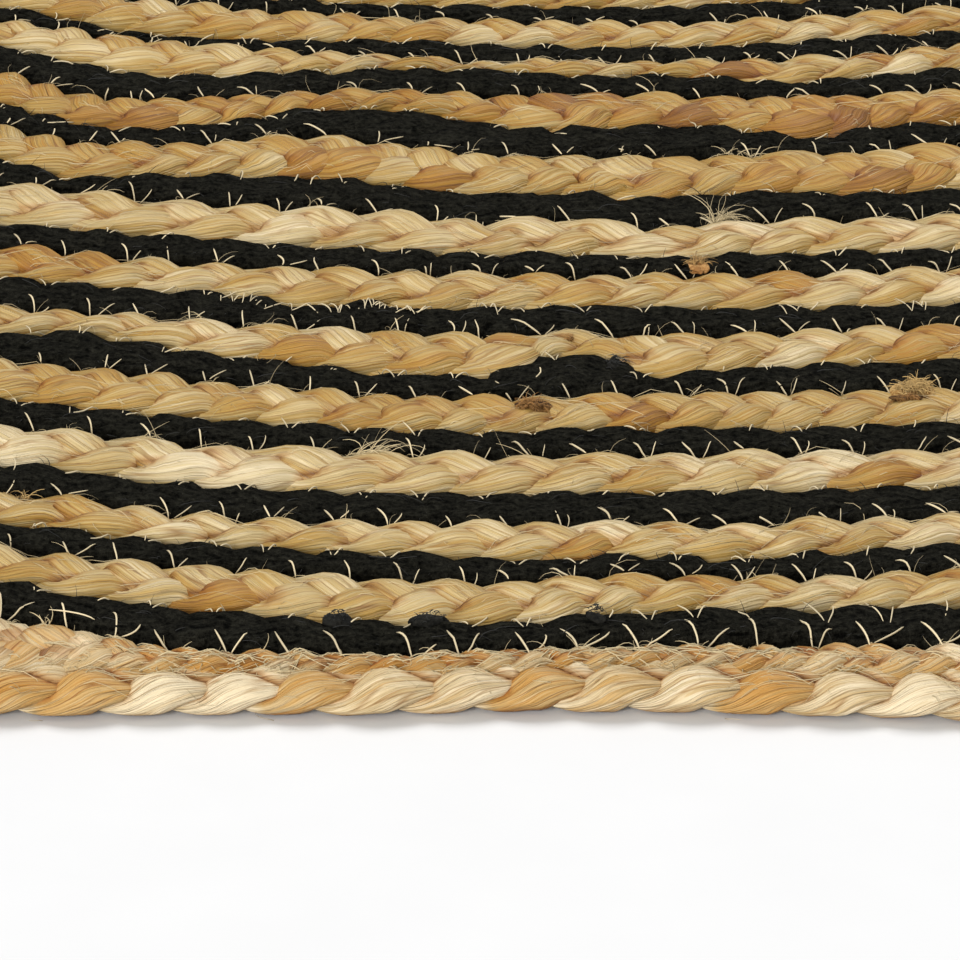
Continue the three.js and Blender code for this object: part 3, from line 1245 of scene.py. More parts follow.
@dataclass(frozen=True)
class BlackYarnFinish:
    """Black woolly yarn, matt and nearly without light of its own, with lighter flecks of random mottling
    and painted sheen.

    Args:
        name: The material's name.
        dark: The yarn's own colour.
        fleck_and_sheen: Its colour in the lighter flecks, random mottling of the wool and painted sheen of
            its fibres.
        wool: What the strand's map is multiplied by for the wool, along and across the strand.
        tuft_scale: Scale of the fine tufts.
    """

    name: str
    dark: Colour = (0.001, 0.001, 0.0007)
    fleck_and_sheen: Colour = (0.020, 0.019, 0.014)
    wool: Span = (240.0, 900.0)
    tuft_scale: float = 1000.0

    def material(self) -> Material:
        """Makes the material.

        Returns:
            The new material.
        """
        nodes = Nodes(self.name)
        wool = nodes.noise(nodes.along_strand(self.wool), 1.0, 4.0, 0.65)
        tuft = nodes.noise(nodes.in_space(), self.tuft_scale, 3.0, 0.65)
        # Lighter flecks where both noises are high: random mottling of the wool and painted sheen of its
        # fibres
        share = nodes.maths("SUBTRACT", nodes.maths("MULTIPLY", wool, tuft), 0.15)
        share = nodes.maths("MULTIPLY", share, 4.0, True)
        colour = nodes.blend(share, (*self.dark, 1.0), self.fleck_and_sheen, "MIX")
        rough = nodes.bump(tuft, 0.9, 1.8 * MM)
        return nodes.finish(colour, 0.95, 0.02, nodes.bump(wool, 0.7, 0.8 * MM, rough))


@dataclass(frozen=True)
class ThreadFinish:
    """Sewing thread or fibre of twisted plies.

    Args:
        name: The material's name.
        colour: Its lightest colour.
        shade: Its darkest colour, as a share of the lightest.
        plies: What the thread's map is multiplied by, along and across it.
    """

    name: str
    colour: Colour = (0.72, 0.60, 0.38)
    shade: float = 0.42
    plies: Span = (900.0, 500.0)

    def material(self) -> Material:
        """Makes the material.

        Returns:
            The new material.
        """
        nodes = Nodes(self.name)
        ply = nodes.noise(nodes.along_strand(self.plies), 1.0)
        tone = nodes.maths("MULTIPLY", nodes.attribute("tone"), 0.7)
        tone = nodes.maths("ADD", tone, nodes.maths("MULTIPLY", ply, 0.3))
        darkest = tuple(self.shade * part for part in self.colour)
        colour = nodes.ramp(tone, ((0.0, self.colour), (1.0, darkest)))
        return nodes.finish(colour, 0.7, 0.25, nodes.bump(ply, 0.5, 0.2 * MM))


@dataclass(frozen=True)
class KnotFinish:
    """Matted fibre of a knot, mottled from dark to light.

    Args:
        name: The material's name.
        dark: Its darkest colour.
        light: Its lightest colour.
        mat_scale: Scale of the matted fibres.
        strand_scale: Scale of the lumps under them.
    """

    name: str
    dark: Colour
    light: Colour
    mat_scale: float = 1100.0
    strand_scale: float = 420.0

    def material(self) -> Material:
        """Makes the material.

        Returns:
            The new material.
        """
        nodes = Nodes(self.name)
        place = nodes.in_space()
        mat = nodes.noise(place, self.mat_scale, 4.0, 0.7)
        strand = nodes.noise(place, self.strand_scale)
        share = nodes.maths("ADD", nodes.shifted(mat, 1.6), strand)
        colour = nodes.ramp(share, ((0.3, self.dark), (0.75, self.light)))
        rough = nodes.bump(strand, 0.8, 1.2 * MM)
        return nodes.finish(colour, 0.85, 0.12, nodes.bump(mat, 0.8, 0.8 * MM, rough))


@dataclass(frozen=True)
class FloorFinish:
    """Plain pale floor with a faint grain.

    Args:
        name: The material's name.
        colour: The floor's colour.
        grain_scale: Scale of its grain.
    """

    name: str
    colour: Colour = (0.62, 0.62, 0.62)
    grain_scale: float = 40.0

    def material(self) -> Material:
        """Makes the material.

        Returns:
            The new material.
        """
        nodes = Nodes(self.name)
        grain = nodes.noise(nodes.in_space(), self.grain_scale, 3.0)
        paler = tuple(1.02 * part for part in self.colour)
        return nodes.finish(nodes.ramp(grain, ((0.3, self.colour), (0.7, paler))), 0.9, 0.1)


class Solid(Enum):
    """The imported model's solids, each with its node and its material slot."""

    NATURAL = ("natural_braid", "natural_jute")
    BLACK = ("black_braid", "black_jute")
    RIM = ("rim_braid", "rim_jute")


@dataclass
class Piece:
    """A finished piece and the solid that it stands for.

    Args:
        shape: The piece's object.
        solid: The solid that it stands for.
        material: Its material.
    """

    shape: bpy.types.Object
    solid: Solid
    material: Material

    def dress(self) -> None:
        """Gives the piece its material and fixes it to the rug."""
        node, slot = self.solid.value
        self.shape.data.materials.clear()
        self.shape.data.materials.append(self.material)
        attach(self.shape, "root")
        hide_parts(node)


@dataclass
class Braid:
    """A braid of the rug, plaited along its route.

    Args:
        name: Start of its pieces' names.
        solid: The solid that it stands for.
        plait: How and where it is plaited.
        near: Detail at the front.
        far: Detail elsewhere.
        tone: Colour tone at each sample of the route.
        most: Most triangles in one piece.
    """

    name: str
    solid: Solid
    plait: Plait
    near: Detail
    far: Detail
    tone: Array
    most: int = 190_000

    @property
    def route(self) -> Route:
        """The line that it follows."""
        return self.plait.route

    def build(self, view: View, material: Material) -> list[Piece]:
        """Plaits the braid.

        Args:
            view: The view that sets which stretches are plaited finely.
            material: The strands' material.

        Returns:
            The braid's pieces.
        """
        buffers = {True: [MeshBuffer()], False: [MeshBuffer()]}
        for low, high, shown in self.route.stretches(view.shows):
            detail = self.near if shown else self.far
            facets, rings = detail.value
            if buffers[shown][-1].triangles > self.most - self.stretch_cost(low, high, detail):
                buffers[shown].append(MeshBuffer())
            buffer = buffers[shown][-1]
            count = max(4, int(round(self.periods(low, high) * rings)) + 1)
            travel = np.linspace(low, high, count)
            tone = self.route.sample(travel, self.tone)
            for strand in range(STRANDS):
                self.plait.add_strand(buffer, travel, strand, facets, tone)
        pieces = []
        for shown, place in ((True, "front"), (False, "round")):
            for number, buffer in enumerate(buffers[shown], start=1):
                shape = buffer.build(f"{self.name}_{place}_{number}")
                pieces.append(Piece(shape, self.solid, material))
        return pieces

    def periods(self, low: float, high: float) -> float:
        """Returns how often a strand swings out and back between two places."""
        lobes = self.route.sample(np.array([low, high]), self.route.lobes)
        return float(lobes[1] - lobes[0]) / STRANDS

    def stretch_cost(self, low: float, high: float, detail: Detail) -> int:
        """Returns the triangles that a stretch of the braid takes."""
        facets, rings = detail.value
        return int(self.periods(low, high) * rings * facets * 2 * STRANDS)


@dataclass(frozen=True)
class Leg:
    """One thread of each stitch in a row, with its sizes in millimetres.

    Args:
        point: Where it lies along the seam on the nearer braid, from the stitch's middle.
        opening: Where it lies along the seam on the further braid.
        pale: Least and most distance that it starts inside the pale braid.
        dark: Least and most distance that it ends inside the black braid.
        chance: How often it is there.
        thickness: Its thickness, in thread radii.
        slack: How far it strays from a straight line.
    """

    point: float
    opening: float
    pale: Span
    dark: Span
    chance: float = 1.0
    thickness: float = 1.0
    slack: float = 0.25


class StitchKind(Enum):
    """The kinds of stitch, each with its threads: a V in the picture, and runs along the seam."""

    RIM = (
        Leg(-0.3, -2.6, pale=(1.0, 2.6), dark=(3.2, 5.6), slack=0.5),
        Leg(0.4, 3.8, pale=(1.0, 2.6), dark=(1.2, 3.0), chance=0.85, thickness=0.85, slack=0.6),
        Leg(-5.0, 5.0, pale=(-0.8, 1.5), dark=(-1.2, 1.2), chance=0.2, thickness=0.7, slack=0.9),
    )
    FAR = (
        Leg(-0.3, -2.1, pale=(0.9, 2.0), dark=(2.4, 4.0), chance=0.95, thickness=0.9),
        Leg(0.5, 2.3, pale=(0.9, 2.0), dark=(1.4, 3.0), chance=0.6, thickness=0.6),
    )
    NEAR = (
        Leg(-0.4, -2.4, pale=(0.0, 0.6), dark=(6.5, 9.0), chance=0.7, thickness=0.7),
        Leg(0.4, 2.6, pale=(0.0, 0.6), dark=(6.5, 9.0), chance=0.95, thickness=0.8),
    )
    FRINGE = (
        Leg(0.0, -1.4, pale=(0.0, 0.8), dark=(4.0, 6.4), chance=0.8, thickness=0.6),
        Leg(0.1, 1.6, pale=(0.0, 0.8), dark=(4.0, 6.4), chance=0.9, thickness=0.65),
    )


# Stretches of one row, in millimetres from the front, whose near edge has dense short stitches
FRINGED_ROW = 6
FRINGES = ((-36, 2), (12, 20), (63, 69), (86, 90))


@dataclass(frozen=True)
class StitchPatch:
    """A stretch of a front row where the stitches on the natural braid's near side are long.

    Args:
        row: The row, counted from the rim.
        at: Travel from the front of the rug to the middle of the stretch, in millimetres.
        reach: How far the stretch reaches to each side, in millimetres.
        size: Length of the stitches at its middle, as a share of the longest ones.
    """

    row: int
    at: float
    reach: float
    size: float


STITCH_PATCHES = (
    StitchPatch(row=1, at=74, reach=34, size=1.0),
    StitchPatch(row=2, at=84, reach=10, size=0.75),
    StitchPatch(row=4, at=-62, reach=16, size=0.7),
    StitchPatch(row=6, at=-18, reach=20, size=0.6),
    StitchPatch(row=7, at=-25, reach=30, size=0.65),
    StitchPatch(row=8, at=-22, reach=24, size=0.8),
)


@dataclass
class StitchRow:
    """Two braids that a row of stitches joins.

    Args:
        kind: How the stitches lie.
        pale: The braid on which the thread is hidden.
        dark: The black braid, on which it shows.
        side: 1 where the black braid lies outside the pale one, and -1 where it lies inside.
        turns: Turns of the pale braid at each stitch.
        dark_turns: Turns of the black braid at each stitch.
        sizes: Length of each stitch, as a share of the longest ones.
    """

    kind: StitchKind
    pale: Braid
    dark: Braid
    side: int
    turns: Array
    dark_turns: Array
    sizes: Array


@dataclass
class SewingThread:
    """The cream thread that sews each turn of the coil to the next.

    Args:
        plan: The lines that the braids follow.
        natural: The natural braid.
        black: The black braid.
        rim: The rim's inner braid.
        pitch: Length of seam between two stitches.
        fringe_pitch: Length of seam between two stitches of a fringe.
        radius: The thread's radius.
        usual_size: Size of most stitches on the natural braid's near side.
        far_shrink: How much smaller the stitches are from the tenth row inwards.
        taper: The thickness of each ring of a thread.
        name: Start of its pieces' names.
        seed: Seed of the stitches' unevenness.
    """

    plan: CoilPlan
    natural: Braid
    black: Braid
    rim: Braid
    pitch: float = 9.5 * MM
    fringe_pitch: float = 2.2 * MM
    radius: float = 0.18 * MM
    usual_size: float = 0.46
    far_shrink: float = 0.4
    taper: tuple[float, ...] = (0.5, 0.9, 1.0, 1.0, 1.0, 0.9, 0.5)
    name: str = "sewing_thread"
    seed: int = 500

    def stitch_turns(self, braid: Braid, pitch: float) -> Array:
        """Returns the turns of a braid at each of its stitches."""
        route = braid.route
        draws = np.random.default_rng(self.seed)
        places = np.arange(pitch, route.length - pitch, pitch)
        places = places + draws.uniform(-0.12, 0.12, len(places)) * pitch
        return route.sample(places, route.turns)

    def front_travel(self, turns: Array) -> Array:
        """Returns the travel from the front of the rug to each place on the natural braid."""
        route = self.natural.route
        return route.sample(route.travel_at(turns), route.middle) * angle_from(FRONT_ANGLE, TURN * turns)

    def fringe_turns(self) -> Array:
        """Returns the turns of the natural braid at each stitch of the fringes."""
        turns = self.stitch_turns(self.natural, self.fringe_pitch)
        turns = turns[in_row(self.plan.pair_at(turns), FRINGED_ROW)]
        travel = self.front_travel(turns)
        kept = np.zeros(len(turns), dtype=bool)
        for low, high in FRINGES:
            kept |= (travel > low * MM) & (travel < high * MM)
        return turns[kept]

    def seams(self) -> list[StitchRow]:
        """Returns the rows of stitches: both sides of the natural braid, its fringes, and the rim."""
        turns = self.stitch_turns(self.natural, self.pitch)
        first, last = self.black.route.turns[0], self.black.route.turns[-1]
        outside = turns[(turns > first) & (turns < last)]
        inside = turns[(turns - 1.0 > first) & (turns - 1.0 < last)]
        fringe = self.fringe_turns()
        far_sizes = 1.0 - self.far_shrink * smooth_step(self.plan.pair_at(inside), 8.0, 10.0)
        rim_turns = self.stitch_turns(self.rim, self.pitch)
        black_turns = rim_turns + math.floor(last) - 1.0
        near = black_turns < last - 0.05
        black_turns = np.where(near, black_turns, black_turns - 1.0)
        natural, black = self.natural, self.black
        return [
            StitchRow(StitchKind.NEAR, natural, black, 1, outside, outside, self.near_sizes(outside)),
            StitchRow(StitchKind.FAR, natural, black, -1, inside, inside - 1.0, far_sizes),
            StitchRow(StitchKind.FRINGE, natural, black, 1, fringe, fringe, np.ones_like(fringe)),
            StitchRow(StitchKind.RIM, self.rim, black, -1, rim_turns, black_turns, np.ones_like(rim_turns)),
        ]

    def near_sizes(self, turns: Array) -> Array:
        """Works out the size of the stitches on the natural braid's near side.

        Args:
            turns: Turns of the natural braid at each stitch.

        Returns:
            The length of each stitch, as a share of the longest ones.
        """
        travel = self.front_travel(turns)
        pair = self.plan.pair_at(turns)
        sizes = np.full_like(turns, self.usual_size)
        for patch in STITCH_PATCHES:
            here = in_row(pair, patch.row) * bump(travel - patch.at * MM, patch.reach * MM)
            sizes = mix(sizes, patch.size, here)
        return sizes

    def leg_paths(self, seam: StitchRow, leg: Leg, chosen: Array, rings: int, seed: int) -> Array:
        """Works out the middle line of one leg of each chosen stitch.

        Args:
            seam: The seam that the stitches join.
            leg: Which leg of the stitch.
            chosen: Which stitches of the seam.
            rings: Points on a leg.
            seed: Seed of the stitches' unevenness.

        Returns:
            The points, with axes stitch, ring and XYZ.
        """
        draws = np.random.default_rng(self.seed + seed)
        count = int(chosen.sum())
        sizes = seam.sizes[chosen][:, None]
        # A stitch is a V in the picture, with its point on the nearer braid
        start, end = (leg.opening, leg.point) if seam.side > 0 else (leg.point, leg.opening)
        start = start * MM * sizes**0.5 * draws.uniform(0.6, 1.5, (count, 1))
        end = end * MM * sizes**0.5 * draws.uniform(0.6, 1.4, (count, 1))
        share = np.linspace(0.0, 1.0, rings)[None, :]
        pale_depth = draws.uniform(*np.multiply(leg.pale, MM), (count, 1))
        dark_depth = draws.uniform(*np.multiply(leg.dark, MM), (count, 1)) * sizes
        slack = leg.slack * MM
        bow = draws.uniform(-0.3, 1.6, (count, 1)) * slack
        arch = draws.uniform(0.0, 1.0, (count, 1)) * slack
        curve = 4.0 * share * (1.0 - share)
        along = mix(start, end, share) + bow * curve
        beyond = mix(-pale_depth, dark_depth, share)
        pale_travel = seam.pale.route.travel_at(seam.turns[chosen])[:, None] + along
        dark_travel = seam.dark.route.travel_at(seam.dark_turns[chosen])[:, None] + along
        pale_across = seam.pale.route.edge(pale_travel, seam.side) + seam.side * beyond
        dark_across = seam.dark.route.edge(dark_travel, -seam.side) + seam.side * beyond
        pale_top = seam.pale.plait.top(pale_travel, pale_across)
        dark_top = seam.dark.plait.top(dark_travel, dark_across)
        top = np.where(beyond < 0.0, pale_top, dark_top)
        chord = mix(top[:, :1], top[:, -1:], share)
        height = np.maximum(top, chord)
        if rings > 3:
            middle = (height[:, :-2] + 2.0 * height[:, 1:-1] + height[:, 2:]) / 4.0
            height[:, 1:-1] = np.maximum(middle, top[:, 1:-1])
        height = height + 0.5 * self.radius + arch * curve
        return seam.pale.route.place(pale_travel, pale_across, height)

    def build(self, view: View, material: Material) -> list[Piece]:
        """Sews the stitches.

        Args:
            view: The view that sets which stitches are made finely.
            material: The thread's material.

        Returns:
            The thread's pieces.
        """
        front, rest = MeshBuffer(), MeshBuffer()
        draws = np.random.default_rng(self.seed + 9)
        for number, seam in enumerate(self.seams()):
            travel = seam.pale.route.travel_at(seam.turns)
            spots = seam.pale.route.place(travel, 0.0 * travel, 0.0 * travel)
            shown = view.shows(spots[:, :2])
            for order, leg in enumerate(seam.kind.value):
                seen = shown & (draws.random(len(shown)) < leg.chance)
                paths = self.leg_paths(seam, leg, seen, len(self.taper), 10 * number + order)
                tone = draws.uniform(0.0, 0.7, len(paths))
                radius = self.radius * leg.thickness * np.array(self.taper)
                front.add_fibres(paths, np.broadcast_to(radius, paths.shape[:2]), 4, tone)
            paths = self.leg_paths(seam, seam.kind.value[0], ~shown, 2, 10 * number + 5)
            tone = draws.uniform(0.0, 0.7, len(paths))
            rest.add_fibres(paths, np.full(paths.shape[:2], self.radius), 3, tone)
        return [
            Piece(front.build(f"{self.name}_front"), self.natural.solid, material),
            Piece(rest.build(f"{self.name}_round"), self.natural.solid, material),
        ]


@dataclass
class Growth:
    """How loose fibres grow, with one value for each fibre.

    Args:
        travel: Travel of its root along the braid's route.
        across: How far outwards from the route its root is.
        height: Height of its root.
        length: Its length.
        heading: Its way over the braid, turned outwards from the braid's own way.
        slope: Its slope upwards at the root.
        turning: How far it turns aside along its length.
        droop: How far it bends down along its length.
    """

    travel: Array
    across: Array
    height: Array
    length: Array
    heading: Array
    slope: Array
    turning: Array
    droop: Array

    def paths(self, route: Route, rings: int) -> Array:
        """Works out the fibres' middle lines.

        Args:
            route: The line that their braid follows.
            rings: Points on a fibre.

        Returns:
            The points, with axes fibre, ring and XYZ.
        """
        step = self.length / (rings - 1)
        alongs, acrosses, heights = [self.travel], [self.across], [self.height]
        for part in np.linspace(0.0, 1.0, rings)[1:]:
            heading = self.heading + self.turning * part
            slope = self.slope - self.droop * part
            alongs.append(alongs[-1] + step * np.cos(heading) * np.cos(slope))
            acrosses.append(acrosses[-1] + step * np.sin(heading) * np.cos(slope))
            heights.append(np.maximum(heights[-1] + step * np.sin(slope), 0.3 * MM))
        return route.place(np.stack(alongs, 1), np.stack(acrosses, 1), np.stack(heights, 1))


@dataclass
class LooseFibres:
    """Stray fibres that stand out of a braid's edges or lie across its strands.

    Args:
        name: The piece's name.
        braid: The braid that they come from.
        standing: Fibres that stand out.
        lying: Fibres that lie on the strands.
        length: Their shortest and longest length, in millimetres.
        radius: Their radius at the root.
        spread: How far from the edges they stand, in braid widths.
        seed: Seed of their places.
    """

    name: str
    braid: Braid
    standing: int
    lying: int
    length: Span
    radius: float
    spread: float = 0.2
    seed: int = 700

    def places(self, view: View, count: int, draws: np.random.Generator) -> Array:
        """Returns the travel of random places that the picture shows."""
        route = self.braid.route
        shown = [(low, high) for low, high, inside in route.stretches(view.shows) if inside]
        lows = np.array([low for low, _ in shown])
        spans = np.array([high - low for low, high in shown])
        ends = np.cumsum(spans)
        picked = draws.uniform(0.0, ends[-1], count)
        run = np.searchsorted(ends, picked)
        return lows[run] + picked - (ends[run] - spans[run])

    def standing_paths(self, view: View, draws: np.random.Generator) -> Array:
        """Works out the fibres that stand out of the braid.

        Args:
            view: The view that sets where they are.
            draws: Source of random numbers.

        Returns:
            Their points, with axes fibre, ring and XYZ.
        """
        route, plait = self.braid.route, self.braid.plait
        count, rings = self.standing, 5
        travel = self.places(view, count, draws)
        side = draws.choice([-1, 1], count)
        edge = np.where(side > 0, route.edge(travel, 1), route.edge(travel, -1))
        across = edge * (1.0 - draws.uniform(0.1, 2.0 * self.spread, count))
        height = plait.top(travel, across) - 0.4 * MM
        reach = draws.uniform(0.0, 1.0, count) ** 2.0
        length = mix(self.length[0] * MM, self.length[1] * MM, reach)
        growth = Growth(
            travel, across, height, length,
            heading=side * (math.pi / 2 + draws.uniform(-1.2, 1.2, count)),
            slope=draws.uniform(0.15, 1.1, count),
            turning=draws.normal(0.0, 1.1, count),
            droop=draws.uniform(0.3, 1.8, count),
        )
        return growth.paths(route, rings)

    def lying_paths(self, view: View, draws: np.random.Generator) -> Array:
        """Works out the fibres that lie on the strands.

        Args:
            view: The view that sets where they are.
            draws: Source of random numbers.

        Returns:
            Their points, with axes fibre, ring and XYZ.
        """
        route, plait = self.braid.route, self.braid.plait
        count, rings = self.lying, 6
        travel = self.places(view, count, draws)[:, None]
        half = route.edge(travel, 1)
        start = draws.uniform(-0.85, 0.85, (count, 1)) * half
        length = draws.uniform(0.7, 2.0, (count, 1)) * (self.length[1] * MM)
        heading = -np.sign(start) * draws.uniform(-0.2, 0.75, (count, 1))
        bend = draws.normal(0.0, 0.35, (count, 1))
        share = np.linspace(0.0, 1.0, rings)[None, :]
        along = travel + length * share * np.cos(heading)
        across = start + length * (share * np.sin(heading) + bend * share * (1.0 - share))
        across = np.clip(across, -0.97 * half, 0.97 * half)
        lifted = draws.uniform(0.0, 0.5, (count, 1)) * MM * 4.0 * share * (1.0 - share)
        height = plait.top(along, across) + lifted + 0.02 * MM
        smooth = height.copy()
        smooth[:, 1:-1] = np.maximum(height[:, 1:-1], (height[:, :-2] + height[:, 2:]) / 2.0)
        smooth[:, [0, -1]] -= 0.3 * MM
        return route.place(along, across, smooth)

    def build(self, view: View, material: Material) -> Piece:
        """Makes the fibres.

        Args:
            view: The view that sets where they are.
            material: Their material.

        Returns:
            The piece.
        """
        draws = np.random.default_rng(self.seed)
        buffer = MeshBuffer()
        for paths in (self.standing_paths(view, draws), self.lying_paths(view, draws)):
            rings = paths.shape[1]
            taper = np.linspace(1.0, 0.35, rings)[None, :] * draws.uniform(0.6, 1.3, (len(paths), 1))
            buffer.add_fibres(paths, self.radius * taper, 3, draws.uniform(0.0, 0.9, len(paths)))
        return Piece(buffer.build(self.name), self.braid.solid, material)


class Hue(Enum):
    """The colours of knots and tufts."""

    PALE = "pale"
    TAN = "tan"
    BROWN = "brown"
    ORANGE = "orange"
    BLACK = "black"


# Places of the coiled braids in the rug's list
NATURAL = 0
BLACK = 1


@dataclass(frozen=True)
class Tuft:
    """A tuft of loose fibres near the front, often with a knot at its root, sized in millimetres.

    Args:
        hue: Its colour.
        braid: Place in the rug's list of the braid that it grows from.
        row: The braid's row, counted from the rim.
        at: Travel from the front of the rug to its root.
        across: Place of its root across the braid, from -1 at the inner edge to 1 at the outer one.
        size: Length, width and height of the knot, or of the patch of roots.
        fibres: Number of its fibres.
        length: Their shortest and longest length.
        heading: Their way over the braid in degrees, turned outwards from the braid's own way.
        fan: How far their ways spread to both sides of it, in degrees.
        has_knot: Whether there is a knot.
        seat: How far the knot's middle lies above the braid, in knot heights.
    """

    hue: Hue
    braid: int
    row: int
    at: float
    across: float
    size: Triple
    fibres: int
    length: Span
    heading: float = -90.0
    fan: float = 180.0
    has_knot: bool = True
    seat: float = 0.2


TUFTS = (
    Tuft(Hue.PALE, NATURAL, 7, 57, -0.85, (4, 2, 0.6), 60, (3, 9), heading=-55, fan=50, has_knot=False),
    Tuft(Hue.PALE, NATURAL, 3, -6, -0.8, (10, 3, 0.6), 40, (3, 8), heading=-30, fan=55, has_knot=False),
    Tuft(Hue.PALE, NATURAL, 8, 62, -0.8, (9, 3, 0.6), 50, (2, 6), heading=-60, fan=60, has_knot=False),
    Tuft(Hue.TAN, NATURAL, 4, 87.2, -0.5, (7.4, 7.0, 3.0), 300, (0.8, 3), seat=0.0),
    Tuft(Hue.BROWN, NATURAL, 4, 85.5, 0.06, (5.4, 2.2, 0.8), 90, (0.6, 2.0)),
    Tuft(Hue.BROWN, NATURAL, 4, 21.2, 0.0, (5.6, 3.8, 1.4), 180, (1.0, 2.6)),
    Tuft(Hue.BROWN, NATURAL, 5, 27.5, 0.05, (1.2, 1.4, 1.0), 14, (0.6, 1.8)),
    Tuft(Hue.TAN, NATURAL, 2, -65, -0.75, (3.6, 2.0, 0.8), 50, (2, 4.5), fan=40, has_knot=False),
    Tuft(Hue.ORANGE, BLACK, 7, 50.8, 0.85, (3.4, 5.0, 1.6), 90, (1.6, 4.4), heading=-85, fan=14),
    Tuft(Hue.BLACK, BLACK, 1, -9.4, -0.6, (4.4, 5.0, 3.2), 50, (0.4, 1.2), seat=-0.1),
    Tuft(Hue.BLACK, BLACK, 1, 4.6, -0.6, (6.0, 4.0, 2.6), 50, (0.4, 1.2), seat=-0.1),
    Tuft(Hue.BLACK, BLACK, 1, 31.8, -0.65, (3.2, 5.0, 3.0), 50, (0.4, 1.2), seat=-0.1),
    Tuft(Hue.BLACK, NATURAL, 5, 37.6, 0.72, (2.4, 5.0, 2.6), 40, (0.5, 1.3)),
)


@dataclass
class TuftGroup:
    """The tufts of one colour and their knots.

    Args:
        hue: Their colour.
        braids: The rug's braids.
        rug: The rug, which finds their places.
        fibre: Material of the fibres.
        knot: Material of the knots.
        radius: The fibres' radius at the root.
        rings: Points on a fibre.
        seed: Seed of their shapes.
    """

    hue: Hue
    braids: list[Braid]
    rug: "Rug"
    fibre: Material
    knot: Material
    radius: float = 0.08 * MM
    rings: int = 6
    seed: int = 800

    def root(self, tuft: Tuft) -> Span:
        """Returns the travel and the distance outwards of a tuft's root on its braid's route."""
        route = self.braids[tuft.braid].route
        travel = self.rug.travel_on(route, tuft.row, tuft.at * MM)
        edge = float(route.edge(np.array([travel]), 1)[0])
        return travel, tuft.across * edge

    def fibre_paths(self, tuft: Tuft, draws: np.random.Generator) -> Array:
        """Works out a tuft's fibres.

        Args:
            tuft: The tuft.
            draws: Source of random numbers.

        Returns:
            Their points, with axes fibre, ring and XYZ.
        """
        braid = self.braids[tuft.braid]
        travel, across = self.root(tuft)
        count = tuft.fibres
        size = np.array(tuft.size) * MM
        shortest, longest = np.array(tuft.length) * MM
        turned = draws.uniform(0.0, TURN, count)
        off = draws.uniform(0.2, 0.9, count)
        along = travel + 0.5 * size[0] * off * np.cos(turned)
        aside = across + 0.5 * size[1] * off * np.sin(turned)
        edge = 0.96 * braid.route.edge(along, 1)
        aside = np.clip(aside, -edge, edge)
        crown = size[2] * (0.75 if tuft.has_knot else 0.1) * np.sqrt(1.0 - off**2)
        growth = Growth(
            along, aside, braid.plait.top(along, aside) + crown,
            length=draws.uniform(shortest, longest, count),
            heading=np.radians(tuft.heading + tuft.fan * draws.uniform(-1.0, 1.0, count)),
            slope=draws.uniform(0.1, 1.0, count),
            turning=draws.normal(0.0, 1.3, count),
            droop=draws.uniform(0.4, 1.9, count),
        )
        return growth.paths(braid.route, self.rings)

    def add_knot(self, tuft: Tuft, number: int) -> bpy.types.Object:
        """Models a knot and seats it on its braid.

        Args:
            tuft: The tuft at whose root it is.
            number: Its number, which seeds its shape.

        Returns:
            The knot.
        """
        braid = self.braids[tuft.braid]
        travel, across = self.root(tuft)
        size = np.array(tuft.size) * MM
        spot, aside = np.array([travel]), np.array([across])
        height = braid.plait.top(spot, aside) + tuft.seat * size[2]
        place = braid.route.place(spot, aside, height)[0]
        ahead = braid.route.place(spot + MM, aside, height)[0] - place
        bpy.ops.object.select_all(action="DESELECT")
        bpy.ops.mesh.primitive_ico_sphere_add(subdivisions=2, radius=0.5, location=(0.0, 0.0, 0.0))
        knot = bpy.context.active_object
        bpy.ops.object.mode_set(mode="EDIT")
        bpy.ops.mesh.select_all(action="SELECT")
        bpy.ops.transform.vertex_random(offset=0.19, uniform=0.5, normal=0.5, seed=self.seed + number)
        bpy.ops.mesh.subdivide(number_cuts=1, smoothness=1.0)
        bpy.ops.transform.vertex_random(offset=0.06, uniform=0.2, normal=0.8, seed=self.seed + 50 + number)
        bpy.ops.transform.resize(value=tuple(size), center_override=(0.0, 0.0, 0.0))
        bpy.ops.transform.rotate(
            value=-math.atan2(ahead[1], ahead[0]), orient_axis="Z", center_override=(0.0, 0.0, 0.0)
        )
        bpy.ops.transform.translate(value=tuple(place))
        bpy.ops.object.mode_set(mode="OBJECT")
        smoother = knot.modifiers.new("rounding", "SUBSURF")
        smoother.levels = 1
        smoother.render_levels = 1
        bpy.ops.object.modifier_apply(modifier=smoother.name)
        bpy.ops.object.shade_smooth()
        return knot

    def build(self) -> list[Piece]:
        """Makes the tufts and their knots.

        Returns:
            The pieces.
        """
        draws = np.random.default_rng(self.seed)
        tufts = [tuft for tuft in TUFTS if tuft.hue is self.hue]
        buffer = MeshBuffer()
        for tuft in tufts:
            paths = self.fibre_paths(tuft, draws)
            taper = np.linspace(1.0, 0.4, self.rings)[None, :] * draws.uniform(0.6, 1.4, (len(paths), 1))
            buffer.add_fibres(paths, self.radius * taper, 3, draws.uniform(0.0, 0.9, len(paths)))
        owner = self.braids[BLACK if self.hue is Hue.BLACK else NATURAL]
        pieces = [Piece(buffer.build(f"{self.hue.value}_tufts"), owner.solid, self.fibre)]
        knots = [self.add_knot(tuft, number) for number, tuft in enumerate(tufts) if tuft.has_knot]
        if knots:
            bpy.ops.object.select_all(action="DESELECT")
            for knot in knots:
                knot.select_set(True)
            bpy.context.view_layer.objects.active = knots[0]
            if len(knots) > 1:
                bpy.ops.object.join()
            joined = bpy.context.active_object
            joined.name = f"{self.hue.value}_knots"
            LOG.info("%s: %d knots", joined.name, len(knots))
            pieces.append(Piece(joined, owner.solid, self.knot))
        return pieces


